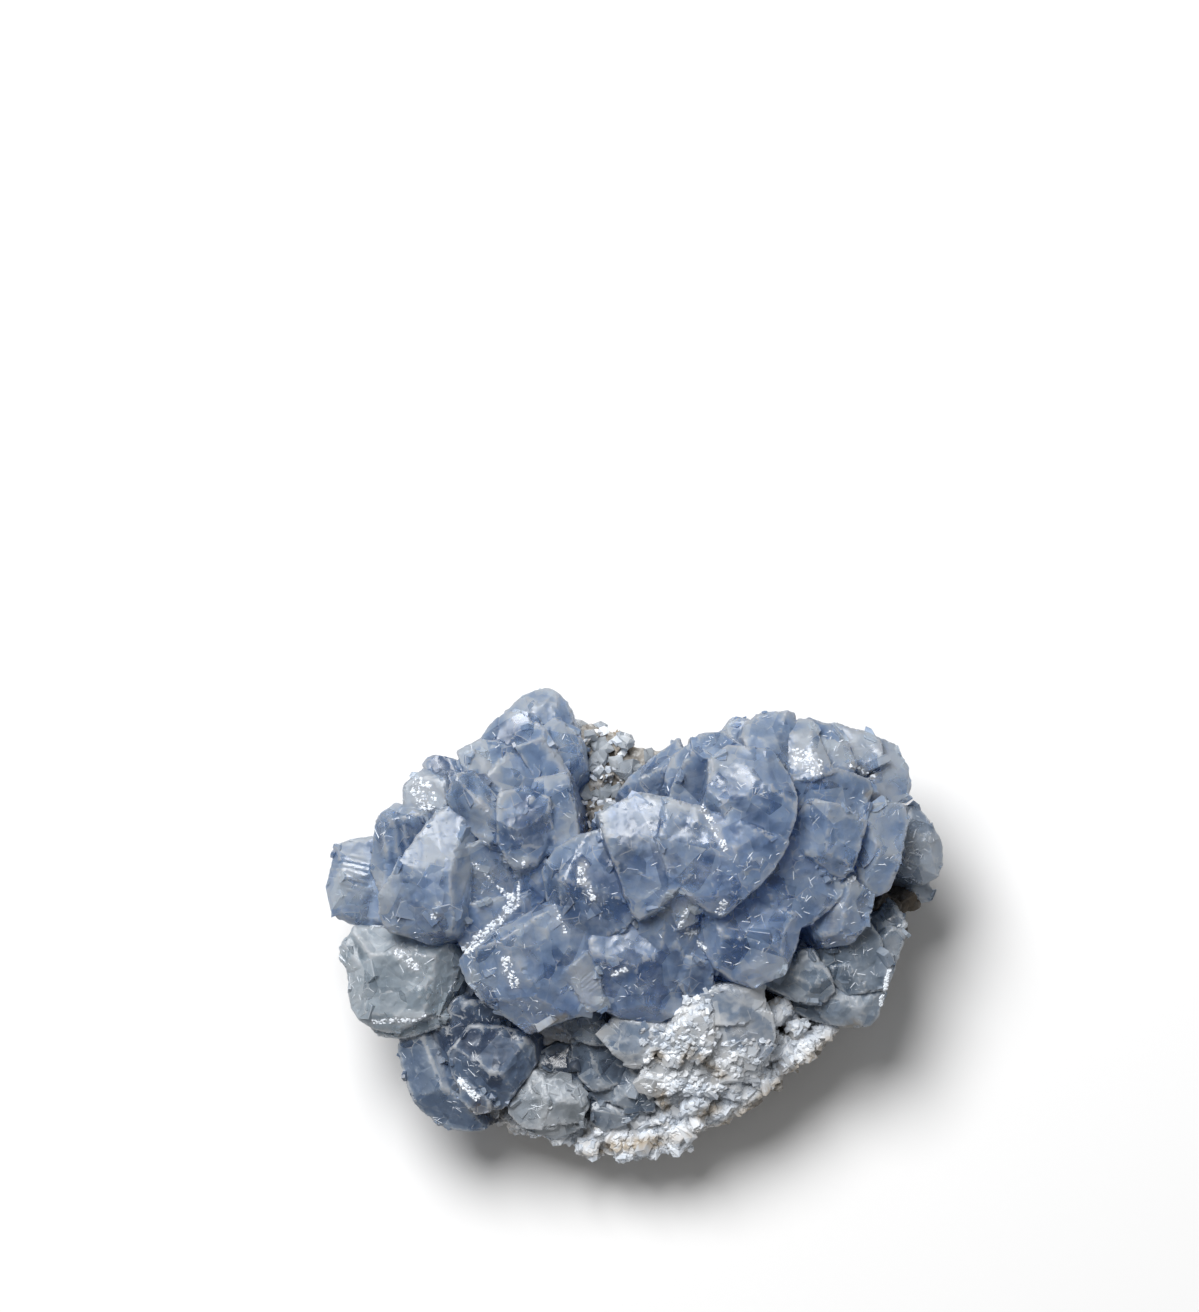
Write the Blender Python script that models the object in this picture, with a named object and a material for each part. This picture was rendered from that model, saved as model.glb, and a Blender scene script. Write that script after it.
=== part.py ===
"""A celestite cluster: blue crystals grown together on a piece of grey-brown rock.

Each crystal is a block cut by planes. Its side faces run along its own growth axis, which
leans away from a common root deep under the cluster, and its top is cut by flat faces.
Crystals that overlap are joined in one solid. The rock is a ball shaped by its outline and
its profile, with ledges along the front and a flat spot below, and it has a socket wherever
a crystal is rooted. Sizes are in millimetres until a mesh is made, and Z is up.
"""

import math

import bmesh
import bpy
import numpy as np
from mathutils import Euler, Matrix, Vector, noise

MM = 0.001

# Crystals lean away from this point. A crystal goes down to ROOT_HEIGHT, unless that makes it
# shorter or longer than these.
ROOT = (0.0, -2.0, -58.0)
ROOT_HEIGHT = 13.0
SHORTEST = 10.0
LONGEST = 21.0

# A block wider than any crystal, which the planes of a crystal are cut from.
BLOCK = 400.0
CUT_TOLERANCE = 1e-5
CORNER_TOLERANCE = 1e-3

# Two solids that meet keep this gap.
GAP = 0.3

# The rock's rim in plan. The rim is lower in front than at the back, and the rock rises from
# it to a dome under the crystals.
ROCK_RIM = [
    (47, 5), (44, 12), (38, 20), (31, 27), (19, 29.5), (7, 28.5), (-1, 30), (-6, 33.5), (-15, 33),
    (-24, 26.5), (-33, 20), (-40, 12), (-43, 3), (-41, -8), (-36, -18), (-30, -27), (-23, -33),
    (-12, -36), (-2, -38.3), (8, -36), (16, -31.4), (24.6, -24), (33.5, -16), (39.5, -8), (43, -1),
]
FRONT_RIM_HEIGHT = 12.0
BACK_RIM_HEIGHT = 17.5
DOME_HEIGHT = 24.0
SHOULDER = 0.8
CROWN = 1.1
UNDERCUT = 0.75
# Between these bearings the dome is hollowed out, down to the small crystals of the front.
HOLLOW_BEARINGS = (-152, -92)
HOLLOW_CROWN = 5.0

# The bowl under the rim would reach this far below the ground, where the flat spot cuts it.
BASE_CUT = 2.6
ROCK_SEGMENTS = 40
ROCK_RINGS = 14
# Faces of the rock that differ by less than this angle, in radians, become one.
LEVEL_ANGLE = 0.0002

# Lumps of the rock as a share of its reach, how many there are across the ball, and how much
# finer and weaker the second set of lumps is.
LUMP = 0.035
LUMP_SCALE = 2.6
FINER_LUMPS = 3.1
FINER_SHARE = 0.5

# Along the front, between these bearings, the rock steps down to its rim in ledges. Each is
# flat for a share of its width. The ledges and the hollow fade out over some degrees.
LEDGE_BEARINGS = (-140, -22)
FADE = 20.0
LEDGE_DROP = 2.2
LEDGE_FLATNESS = 0.7

# Rows of small crystals on the rock: first and last bearing, first and last share of the
# reach, how many rows, the spacing along a row and half the size of a crystal.
DRUSE = [
    (-138, -24, 0.74, 0.92, 3, 4.8, 1.8),
    (86, 116, 0.55, 0.92, 3, 5.0, 1.8),
    (-20, 8, 0.86, 0.93, 2, 5.0, 1.7),
]
DRUSE_SHAPE = (1.0, 0.85, 1.25)
DRUSE_SIZES = (0.75, 1.2)
DRUSE_SPACINGS = (0.8, 1.2)
DRUSE_STRAY = 0.012
DRUSE_STAGGER = 1.0
DRUSE_SEED = 7

# Larger blocky crystals all round under the rim, between these shares of its height.
SKIRT_COUNT = 16
SKIRT_SIZE = 2.6
SKIRT_HEIGHTS = (0.5, 0.85)
SKIRT_REACH = 0.87

# Deep holes between the crystals: centre and radius. They are taller than wide.
HOLES = [
    (27.6, -1.4, 20, 4.6), (24.0, -13.4, 20, 6.0), (25.5, -16.0, 17, 4.5), (-25, -11.3, 24, 3.6),
    (-8.4, 20.5, 27, 3.4), (-7.6, 17.6, 25, 2.6), (42.5, 5.5, 18, 3.6),
]
HOLE_STRETCH = 1.6

# Base colour (linear red, green and blue) and roughness of each piece.
FINISHES = {
    "matrix": (0.26, 0.22, 0.17, 0.9),
    "main_crystals": (0.16, 0.26, 0.46, 0.15),
    "pale_left_crystal": (0.36, 0.45, 0.53, 0.2),
    "lower_left_crystals": (0.09, 0.15, 0.28, 0.15),
    "front_crystals": (0.42, 0.46, 0.50, 0.25),
    "hollow_crystals": (0.10, 0.15, 0.23, 0.2),
    "white_crust_crystals": (0.56, 0.60, 0.64, 0.35),
    "lower_right_crystals": (0.20, 0.27, 0.36, 0.2),
    "far_right_crystals": (0.14, 0.20, 0.31, 0.2),
}

# A crystal is given by its outline in plan and by its flat top faces. A face is
# (x, y, z, bearing, tilt): it passes through that point, looks towards that bearing in plan
# (0 is +X, 90 is +Y) and is tilted by that angle from level.
CLUSTER = {
    "main_crystals": {
        "left_block": (
            [(-48.1, 13.1), (-49.3, 7.0), (-48.7, 3.0), (-47.4, 1.4), (-42.5, -0.5), (-38, 0),
             (-39, 15), (-45, 14.3)],
            [(-44, 10.5, 27.5, 140, 10), (-44, 4, 26, 262, 22), (-43.5, 0.6, 23.5, 262, 55),
             (-48.6, 7, 25, 182, 55), (-44.5, 14.2, 27, 100, 50)],
        ),
        "left_grooved_slab": (
            [(-40.3, 18), (-38.3, 19.9), (-36.7, 19.6), (-33.5, 18.5), (-31.5, 12), (-36, 7),
             (-40.5, 5.8), (-42.3, 9.3), (-41.5, 17)],
            [(-37, 13.5, 32, 255, 16), (-41, 12.5, 30, 185, 48), (-38, 19.3, 31.5, 110, 45)],
        ),
        "frosted_block": (
            [(-33.6, 25.6), (-36.5, 22.9), (-36.9, 19.2), (-35.6, 18.2), (-32, 17), (-30, 20),
             (-30.2, 24)],
            [(-34, 21.5, 32.5, 170, 12), (-34.2, 18.8, 31.8, 255, 50), (-33, 25, 32, 105, 40)],
        ),
        "back_left_knob": (
            [(-34, 26.3), (-33.3, 27.4), (-32, 27.8), (-29.8, 27.4), (-27, 26.4), (-27, 22),
             (-31.6, 22)],
            [(-31.5, 25.3, 30.5, 140, 22), (-29, 25.6, 31.2, 70, 28), (-30.5, 23.5, 31.5, 220, 15)],
        ),
        "left_broad_crystal": (
            [(-40.8, 5.6), (-37.4, 7.9), (-33.6, 12), (-31.8, 18.8), (-29, 19.8), (-25.5, 16),
             (-26, 10), (-28.4, 3), (-28.9, -0.8), (-32.8, -2.4), (-36.8, -0.6), (-39.6, -0.1),
             (-41, 2.9)],
            [(-31, 13.5, 36, 110, 14), (-33.5, 7.5, 36.3, 230, 12), (-35, 2.5, 34.4, 250, 32),
             (-27.6, 8, 35, 355, 48), (-32, -1.2, 32, 265, 60)],
        ),
        "long_blade": (
            [(-28.6, 24.7), (-26, 25.3), (-22, 21), (-20.4, 15.5), (-21.2, 12.5), (-23, 12.8),
             (-28, 17.5), (-30, 21)],
            [(-26.5, 19, 36, 225, 30), (-23, 20, 36.5, 40, 28), (-22, 13.8, 35, 280, 45)],
        ),
        "dark_ridge_block": (
            [(-21.6, 21.8), (-17, 22.6), (-13.5, 21), (-13, 15), (-16, 10.5), (-19.5, 9.5),
             (-21.9, 13.8)],
            [(-18, 18.5, 37.5, 60, 10), (-18.5, 13, 36.5, 245, 30), (-15.5, 14, 36, 320, 30)],
        ),
        "pale_blue_face": (
            [(-16, 23.9), (-11, 24.8), (-9.5, 20), (-9.1, 15.4), (-11, 12), (-14.5, 12), (-17, 16)],
            [(-12.5, 19, 35.5, 350, 24), (-14, 14, 35, 260, 25), (-13, 23.6, 35, 80, 35)],
        ),
        "glassy_flake": (
            [(-27, 27.9), (-25.5, 28.8), (-24.4, 27.6), (-21.2, 24.5), (-21, 21.8), (-24, 22.6),
             (-26.8, 25.2)],
            [(-24.5, 26, 34, 50, 20), (-24.3, 24, 34.5, 240, 20)],
        ),
        "left_back_crystal": (
            [(-28.5, 28.4), (-26.5, 29.4), (-24.8, 30.3), (-21.5, 30), (-17, 26), (-15.5, 23),
             (-17, 21), (-22, 20.5), (-27, 24)],
            [(-20.5, 26, 33.5, 30, 14), (-25, 28.5, 31.5, 120, 32), (-20, 22.5, 34, 290, 18)],
        ),
        "square_block": (
            [(-15.2, 32.5), (-14.2, 31.8), (-12.1, 26.5), (-10.4, 24.4), (-14, 23), (-15.6, 23.6),
             (-17.9, 27), (-19.9, 30.2), (-19.1, 31.5)],
            [(-16, 28.5, 34.2, 300, 14), (-17, 31.5, 33, 110, 42), (-13.5, 29.5, 33.5, 20, 45)],
        ),
        "notch_edge_block": (
            [(-15, 32), (-13, 33.8), (-9, 31.3), (-8.1, 27), (-10, 24.4), (-13, 25.5)],
            [(-11.5, 29.3, 31, 30, 26), (-10, 26.5, 30.5, 330, 40), (-12.5, 33, 30, 95, 50)],
        ),
        "top_crystal": (
            [(-20.8, 34.7), (-19, 36.4), (-16, 38.1), (-14.5, 38.5), (-12.2, 37.5), (-10.8, 36.2),
             (-10, 33), (-12.5, 30.5), (-17.5, 30.5), (-21, 32)],
            [(-15, 34.5, 28.5, 75, 18), (-18.5, 35, 27.5, 130, 35), (-12, 35.5, 27.5, 30, 40),
             (-15.5, 37.4, 26.5, 95, 50)],
        ),
        "pale_back_crystal": (
            [(-25, 30.1), (-24, 31.4), (-23, 32.6), (-21.8, 34), (-18.5, 34.8), (-15, 32.5),
             (-17.5, 29), (-22.5, 27.8)],
            [(-20.5, 31.8, 30, 125, 20), (-22.5, 32, 29, 140, 40)],
        ),
        "fan_crystal_left": (
            [(-29, 12.5), (-24, 14.5), (-19.5, 11.5), (-18, 7.5), (-19.8, 3.4), (-24, 2.6),
             (-29, 3.2), (-30, 6.5)],
            [(-26, 8, 32, 300, 32), (-22.5, 9.5, 32.5, 330, 38), (-28.5, 6, 31.8, 250, 25)],
        ),
        "fan_crystal_middle": (
            [(-22.5, 14.5), (-15.5, 14), (-13.5, 9.5), (-14.2, 5), (-19.5, 3.4), (-22.8, 7)],
            [(-19, 8.5, 31.5, 245, 42), (-15.8, 8.5, 32, 200, 35)],
        ),
        "centre_dark_crystal": (
            [(-5.2, 16), (-9.1, 14.9), (-12.8, 12.7), (-14.8, 9.2), (-13.4, 4.2), (-12.9, -0.9),
             (-9.8, -1.8), (-7, -2.3), (-5.3, -0.4), (-1.5, 0.4), (1.5, 3.7), (0, 10), (-1.5, 14)],
            [(-7, 9.5, 37.5, 40, 8), (-6.5, 2.5, 36, 262, 24), (-12.9, 3, 35, 192, 52),
             (-12.3, 11, 36.5, 140, 32)],
        ),
        "front_left_crystal": (
            [(-26.8, -3.3), (-20, 0.9), (-13, 4.7), (-6.5, 1), (-5.4, -5), (-5, -12), (-7, -13.1),
             (-10.9, -14), (-16.9, -16.7), (-20.8, -12.6), (-24.6, -11.3), (-27, -8.5),
             (-28.1, -5.1)],
            [(-17, -1.8, 35.5, 310, 10), (-20, -8, 33.8, 240, 26), (-16, -14, 29.5, 262, 52),
             (-8.5, -8.5, 33, 295, 30), (-23, -0.9, 33.5, 121, 60), (-27.2, -6, 31.5, 190, 50)],
        ),
        "frosted_strip": (
            [(-28.8, 3.4), (-23, 4.6), (-17, 6), (-14.6, 4.6), (-19.5, 1), (-24, -1.8), (-27.2, -3.8),
             (-29, -0.8)],
            [(-21.5, 2.2, 30.6, 305, 20), (-27.5, 0, 29.6, 230, 25)],
        ),
        "pale_striated_chunk": (
            [(-7.7, -3.7), (-5.9, -7), (-5.2, -12.4), (-7.2, -13.1), (-9.9, -9), (-11.6, -6.9)],
            [(-8, -8.5, 34.1, 315, 24), (-10.4, -8.4, 33.8, 235, 34)],
        ),
        "front_middle_crystal": (
            [(-5.8, 1), (0, 2), (4.5, 2), (7.5, -3.5), (9.2, -11.3), (7.2, -13.2), (4, -14.9),
             (0.8, -14.8), (-2.4, -14), (-5.5, -12.3), (-6.4, -5.1), (-7.2, -2)],
            [(-1.5, -2.5, 34.5, 70, 8), (-0.5, -9.5, 32.5, 255, 32), (5, -8, 31.8, 310, 32),
             (1, -14, 28.5, 270, 55)],
        ),
        "dark_blade": (
            [(0.2, 2.6), (4.9, 5.6), (6.3, 3), (7.6, 0), (9.8, -2), (12.6, -4.6), (12.6, -6.4),
             (9, -7), (4.5, -4.4), (0.8, -0.5)],
            [(6, -1, 34.5, 320, 35), (3.5, -2, 34.7, 225, 25)],
        ),
        "channel_block": (
            [(6, -4.2), (9.5, -4.4), (12.6, -5.6), (12.3, -9), (11, -11.1), (8, -10.6), (5.6, -6)],
            [(9, -7.5, 31.5, 300, 28), (7, -7.5, 31.5, 210, 20)],
        ),
        "channel_floor": (
            [(4.5, 3), (9, 5.5), (13, 4.5), (13.2, -5), (9, -6.5), (5.5, -1)],
            [(9, 0, 32.5, 265, 12)],
        ),
        "pale_shard": (
            [(5, 5.4), (6.3, 7), (9, 6), (10, 1.5), (7, 0), (5.7, 2.9)],
            [(6.8, 3.5, 37.5, 215, 38), (8.5, 3, 37.5, 320, 42)],
        ),
        "front_right_crystal": (
            [(10.2, -2), (10.8, 2), (12.8, 4), (17, 5), (20.5, 5), (26.6, 2), (26.1, -1.2),
             (25, -4.3), (24.1, -6.5), (21.6, -8.3), (19, -9.3), (16, -8.4), (12.7, -6)],
            [(18.5, 0.5, 35.5, 60, 6), (20, -5, 33.8, 268, 30), (12.4, -2.5, 34.2, 205, 42),
             (25, -1.5, 33.8, 340, 45)],
        ),
        "slate_block": (
            [(15.5, 4), (18.4, 8), (20.5, 10.5), (22.5, 13), (25, 15), (28, 12.5), (32.2, 8.1),
             (34, 6.1), (30.5, 3), (28.2, 0.9), (26, 0.3), (19, 2)],
            [(23, 9, 36.2, 320, 20), (27, 5, 35.4, 280, 22), (20, 5.5, 35.5, 240, 25)],
        ),
        "right_middle_block": (
            [(27.9, 1.2), (31, 6), (34.5, 8.5), (37, 6), (38.2, 4.4), (37.4, 1.1), (34, -2.5),
             (30.6, -2.9), (29.2, -0.8)],
            [(31.5, 2.5, 31.5, 195, 20), (35.2, 2.8, 31.5, 330, 25), (32.3, -1.6, 30.3, 265, 52)],
        ),
        "wedge": (
            [(-2.8, 21.8), (0, 24.8), (3, 26.6), (7, 30.4), (7.5, 27), (6, 21.5), (3, 19.5),
             (-1.5, 20.5)],
            [(2, 25, 33, 128, 48), (4.5, 24.2, 33.5, 325, 50), (0.5, 22.3, 32.5, 240, 20)],
        ),
        "slender_crystal": (
            [(5, 22), (5, 24.5), (6.2, 27.7), (10.5, 31.2), (12, 28), (11, 24), (8, 20.5)],
            [(7.3, 26, 36, 150, 34), (10, 26, 37, 350, 25)],
        ),
        "back_face_crystal": (
            [(10.4, 31.1), (14.2, 31.7), (17.4, 29), (16.5, 25), (13.5, 20), (11, 17.5), (5.2, 20),
             (5.8, 23), (8.8, 28.3)],
            [(10, 25, 39.4, 270, 18), (13.8, 29.5, 39, 80, 35)],
        ),
        "right_large_crystal": (
            [(11.8, 27.4), (14.8, 29.4), (21.6, 28.6), (24.4, 25), (25.8, 21), (25, 16.2), (23, 12),
             (17, 11), (12.5, 14), (10.7, 19)],
            [(18.5, 19, 43, 330, 9), (17, 23.5, 42.6, 88, 22), (23, 24.5, 41.2, 45, 34),
             (12.4, 18, 41.5, 215, 45), (23.8, 16, 42, 310, 25)],
        ),
        "front_slab_left": (
            [(-6.1, 18.6), (-3, 20.3), (0.8, 21.8), (5, 21.2), (9, 17), (9, 9), (6.4, 6.3),
             (3.4, 3.3), (0.6, 1.7), (-0.5, 2.8), (-2.4, 9.5), (-4.9, 14.9)],
            [(-0.5, 17.5, 42.3, 110, 16), (2.5, 12.5, 43, 235, 10), (1.5, 6, 41, 240, 30)],
        ),
        "front_slab_right": (
            [(5, 21), (10.6, 19.4), (14, 16), (22.5, 14), (24.5, 14), (23.3, 12.3), (22, 9.6),
             (20.3, 7.9), (17, 5), (14, 2.2), (11.5, 3.2), (8.5, 5.4), (5.5, 8.5), (3.5, 14)],
            [(9, 15.5, 44, 75, 10), (12, 9, 43, 265, 14), (19.5, 10.5, 42, 320, 26),
             (14, 4, 40.5, 270, 45)],
        ),
        "back_chip": (
            [(14, 31.6), (15.5, 33.3), (17, 33.4), (18.4, 33), (19, 30), (16, 29.5)],
            [(16, 32, 30, 100, 30)],
        ),
        "back_crystal": (
            [(17, 31), (17.6, 32.8), (19, 33.9), (20.5, 34.6), (22, 34.7), (25.3, 34.3), (26, 30),
             (25, 26.5), (21.5, 25.5), (18.5, 26)],
            [(21, 31, 36, 95, 28), (20.5, 27.8, 37.8, 60, 10), (23.8, 30, 35.8, 30, 32)],
        ),
        "bright_crystal": (
            [(24.2, 25.3), (23.9, 28), (24.8, 30.6), (26.2, 33.5), (28.2, 33.3), (30, 28.8),
             (31.4, 25), (28.5, 24), (25.2, 23.8)],
            [(27, 27, 37, 120, 20), (28.8, 30.5, 35.8, 40, 35), (26, 31, 35.5, 110, 42)],
        ),
        "back_right_crystal": (
            [(27.5, 33.7), (31.5, 32.6), (33.8, 29.8), (35, 27), (34.8, 24.6), (32.5, 23.2),
             (30, 24.5), (28.6, 28)],
            [(31.5, 28.5, 34, 50, 22), (32, 25.5, 34.5, 300, 22)],
        ),
        "rim_crystal_a": (
            [(31.5, 32.6), (33, 32.1), (35, 31), (37.5, 30.9), (39.4, 30.3), (39.5, 26.5),
             (36.5, 24.5), (33, 26)],
            [(35.5, 29, 29.5, 85, 25), (36, 26.5, 30.5, 250, 15)],
        ),
        "rim_crystal_b": (
            [(37.8, 30.7), (40, 30.2), (41.6, 29.5), (43.1, 27.1), (43.5, 24.3), (40, 23.8),
             (37.3, 26)],
            [(40.5, 28, 27.5, 50, 24), (40, 25.6, 28.5, 300, 18)],
        ),
        "rim_crystal_c": (
            [(36.6, 23.5), (38.4, 24.8), (40.5, 25.8), (43.6, 24.9), (44, 22.5), (43.4, 20.4),
             (40, 19.3), (37.4, 20.3)],
            [(41, 22.8, 28.5, 350, 22), (38.5, 22, 29.5, 260, 15)],
        ),
        "dark_back_block": (
            [(24.8, 24.6), (28.3, 25.4), (31, 26), (34, 25.2), (37.3, 23.9), (38, 22), (35.5, 18),
             (30, 18.5), (26, 19), (24.9, 22)],
            [(29.5, 22.5, 36.8, 280, 18), (35, 21.8, 34.6, 345, 25)],
        ),
        "right_faceted_crystal": (
            [(24.4, 16.6), (28, 20.7), (33, 19.9), (37, 17.3), (36, 14), (34.9, 10.4), (33.2, 8.1),
             (31, 9), (26, 12.8), (24, 14.4)],
            [(27.5, 16.5, 37.5, 205, 22), (33, 15, 37.5, 330, 22), (32, 10.5, 36.2, 265, 42)],
        ),
        "right_edge_crystal": (
            [(36.5, 19.6), (40, 20.4), (42.9, 19.9), (43.5, 17), (43, 14.7), (42.6, 12),
             (41.5, 9.7), (40.3, 6.5), (38.2, 5), (36, 8), (34.9, 12), (35.7, 16)],
            [(39.8, 15, 34.2, 10, 22), (38.5, 9, 33, 285, 30), (36.8, 13.5, 34, 210, 30)],
        ),
    },
    "pale_left_crystal": {
        "pale_body": (
            [(-45, 0.1), (-41, 0.2), (-35, -0.2), (-30, -2.5), (-27.8, -5.5), (-29.2, -9.5),
             (-31, -13), (-35, -14.8), (-37.8, -16.4), (-41.5, -16.2), (-43.8, -15), (-45.6, -12.5),
             (-46, -8.2), (-46.6, -3)],
            [(-38, -8.5, 27.5, 250, 7), (-44.3, -8, 26, 185, 40), (-39, -15, 25.8, 262, 42),
             (-30.2, -8, 26, 340, 38), (-39, -1.5, 26.5, 92, 28)],
        ),
        "pale_knob": (
            [(-46.7, -2.2), (-45.9, -1.6), (-43.9, -1.7), (-42.6, -3.2), (-43.6, -6), (-46, -7),
             (-47.3, -4.7)],
            [(-44.9, -3.6, 26.2, 130, 14), (-46.2, -4.5, 25.5, 200, 38)],
        ),
        "pale_shelf": (
            [(-42.8, -15), (-36, -13), (-30.4, -14.2), (-31.2, -15.6), (-34, -16.8), (-37, -17.5),
             (-41.3, -17.3)],
            [(-36.5, -16.2, 23.5, 265, 20)],
        ),
    },
    "lower_left_crystals": {
        "slanting_column": (
            [(-37.7, -17.6), (-35, -15.5), (-31.5, -15.5), (-30.5, -21), (-29.4, -25), (-26, -29.5),
             (-24, -32.6), (-27.2, -32.8), (-31.5, -32), (-34.5, -29.3), (-36.9, -24), (-38, -20.3)],
            [(-34.2, -22.5, 21.5, 205, 18), (-31.3, -24, 22, 20, 30), (-29.3, -30.3, 19, 265, 34)],
        ),
        "dark_top_block": (
            [(-31.5, -13), (-28, -11), (-25, -14), (-24, -18), (-26, -21), (-31, -21.5),
             (-32.2, -18)],
            [(-28.5, -17, 23, 335, 14), (-30.8, -17.5, 22.5, 200, 40)],
        ),
        "dark_middle_crystal": (
            [(-26.5, -15.8), (-21, -15.8), (-18, -17), (-16.3, -18.9), (-16, -21.5), (-17, -23.2),
             (-19.3, -25), (-20.2, -27.8), (-21.3, -29.2), (-25.3, -29.5), (-27.6, -26.5),
             (-29.4, -23.5), (-30, -20)],
            [(-23.5, -20, 24, 60, 8), (-26, -24.5, 23, 235, 26), (-22.5, -27, 21.5, 275, 38),
             (-18, -21.5, 22.3, 335, 42)],
        ),
        "dark_back_crystal": (
            [(-28, -12), (-24, -12.5), (-20, -11.5), (-16.5, -15.5), (-16.8, -18.2), (-21, -19),
             (-26, -18)],
            [(-22.5, -15, 22.5, 300, 14), (-18.5, -16, 21.5, 0, 30)],
        ),
        "small_knob": (
            [(-28.1, -25), (-27, -24.5), (-26, -26), (-23.5, -27.5), (-23, -29.6), (-25.5, -30),
             (-28, -27.6)],
            [(-26, -27, 22.6, 250, 22)],
        ),
    },
    "front_crystals": {
        "front_left_block": (
            [(-19.3, -24.3), (-17, -22.8), (-14.8, -24), (-13.5, -28), (-15, -32.5), (-18, -32.2),
             (-20.4, -30), (-20.2, -27.5)],
            [(-17, -26.5, 20.5, 150, 20), (-17.5, -30, 19.5, 235, 26)],
        ),
        "front_middle_block": (
            [(-16.5, -24.5), (-12, -24.3), (-9, -26), (-7.6, -29), (-9, -31.5), (-14.5, -32)],
            [(-12.5, -27, 21, 60, 14), (-11, -30.3, 19.5, 285, 32), (-15, -29, 20, 225, 25)],
        ),
        "front_low_block": (
            [(-18, -29.5), (-10, -29), (-7.9, -31.5), (-10, -33.2), (-13, -33.5), (-15.8, -33.4),
             (-18.3, -32.4)],
            [(-13, -32.2, 17, 265, 36), (-11, -30.5, 18, 300, 20)],
        ),
    },
    "hollow_crystals": {
        "pale_wedge": (
            [(-11.3, -13.8), (-7.5, -12.5), (-5, -15), (-4, -17.4), (-5, -18.8), (-9, -18),
             (-11.3, -16.2)],
            [(-8, -15.5, 24.5, 230, 30), (-6, -17, 24, 310, 30)],
        ),
        "grey_block": (
            [(-16, -20.8), (-12.7, -18.6), (-10, -19.2), (-8, -23), (-8.6, -26), (-12.5, -25),
             (-16.2, -23.4)],
            [(-12, -21.5, 18.8, 120, 18), (-12, -24, 18.3, 250, 30)],
        ),
        "navy_crystal": (
            [(-10.2, -18), (-5, -17.4), (-0.6, -21.5), (-2.5, -25), (-6.5, -26.4), (-8.8, -24.2),
             (-10, -21)],
            [(-5.5, -21, 21, 340, 22), (-7.5, -23, 20.5, 220, 28)],
        ),
        "small_grey_crystal": (
            [(-7, -26.3), (-4.2, -24), (-2.8, -24.3), (-2.9, -28.2), (-5.5, -28), (-7.4, -27.4)],
            [(-5, -26.3, 18.2, 200, 22)],
        ),
        "blue_leaf": (
            [(-3.4, -28.2), (-3.2, -25), (-0.8, -22.4), (1.4, -24.6), (3, -27.2), (3.4, -29.8),
             (0, -29.6)],
            [(-1, -26, 20, 160, 22), (1, -28, 19, 285, 28)],
        ),
        "low_pale_crystal": (
            [(-7, -28.2), (-3.5, -27.6), (-0.5, -28), (0.9, -29.8), (-0.5, -31.2), (-3, -32.2),
             (-5, -32.7), (-7.2, -31.6), (-6, -30)],
            [(-3, -29, 17.6, 95, 14), (-4.5, -31, 16.8, 262, 36)],
        ),
    },
    "white_crust_crystals": {
        "blue_face_crystal": (
            [(-4.9, -18), (-3.4, -14.5), (1, -13.5), (3.6, -15.5), (3.4, -18.5), (2.2, -21.5),
             (-0.6, -22.4), (-3.3, -20.6)],
            [(-1, -18, 26.8, 245, 16), (1.8, -17, 27, 330, 20), (-0.3, -21, 25.2, 262, 48)],
        ),
        "grey_shoulder": (
            [(7.5, -10.5), (12.8, -9.8), (18, -8.4), (20.5, -9.2), (21, -12.5), (19.6, -14.4),
             (17, -15.4), (12, -15.4), (8.8, -14)],
            [(14, -12.5, 29.5, 285, 12), (19.5, -11.5, 28.3, 330, 30), (15.5, -10, 30, 70, 20)],
        ),
        "grey_slope": (
            [(12, -14.6), (17, -14), (19, -12.8), (22, -13.5), (22.5, -17.5), (22, -19.2),
             (19.5, -21.8), (16, -20.5), (12.5, -17.5)],
            [(18, -16.5, 27, 300, 26), (15, -16.5, 27.5, 255, 26)],
        ),
        "white_mound": (
            [(7.2, -13), (9.5, -11.3), (11.2, -12.3), (12.6, -15), (12.6, -18.2), (10.6, -21.2),
             (8, -19.6), (6.3, -17.6), (6.6, -15)],
            [(9.6, -14.5, 30.3, 140, 14), (9.5, -18.5, 28.4, 262, 32), (11.8, -16, 29.3, 340, 36)],
        ),
        "white_side": (
            [(2.3, -15.8), (4, -15.5), (7.5, -16), (8.2, -19), (7, -21.6), (4, -20.6), (2.4, -18.2)],
            [(5, -18, 27.2, 240, 22), (4, -16.6, 27.6, 120, 24)],
        ),
        "white_shoulder": (
            [(12.2, -17.5), (15, -16), (17, -18.5), (19, -21.2), (17.4, -23), (15, -24.8),
             (12, -22.6), (11.5, -20)],
            [(14.5, -19.5, 25.8, 265, 28), (17, -21, 24.4, 310, 30)],
        ),
        "white_shelf": (
            [(0.1, -25.4), (2, -21.6), (5, -20.2), (8, -21.5), (8, -25), (5, -26.7), (2.5, -27.2)],
            [(4, -23.5, 23.5, 250, 20), (3, -26, 22, 262, 45)],
        ),
        "white_terrace": (
            [(7, -21), (10, -20), (14, -22.5), (15.2, -25), (12.5, -26.8), (8, -26.6)],
            [(10.5, -23.5, 23.5, 285, 24)],
        ),
    },
    "lower_right_crystals": {
        "rounded_block": (
            [(20.5, -9.1), (22.9, -7.1), (25, -5.2), (26.6, -3.5), (28.3, -3.6), (30.6, -6.5),
             (31.7, -8.5), (32, -10), (30.6, -11.5), (28.8, -12.2), (25.6, -11.3), (23, -10.2)],
            [(26.8, -7, 28, 60, 8), (25, -9.2, 27.3, 240, 28), (29.5, -10, 27, 300, 38)],
        ),
        "grey_block_a": (
            [(30.5, -3), (34.2, -1.2), (37.6, 0.8), (39.5, -1.5), (39.6, -4.6), (36, -6.6),
             (32.5, -7), (30, -6.3)],
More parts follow.
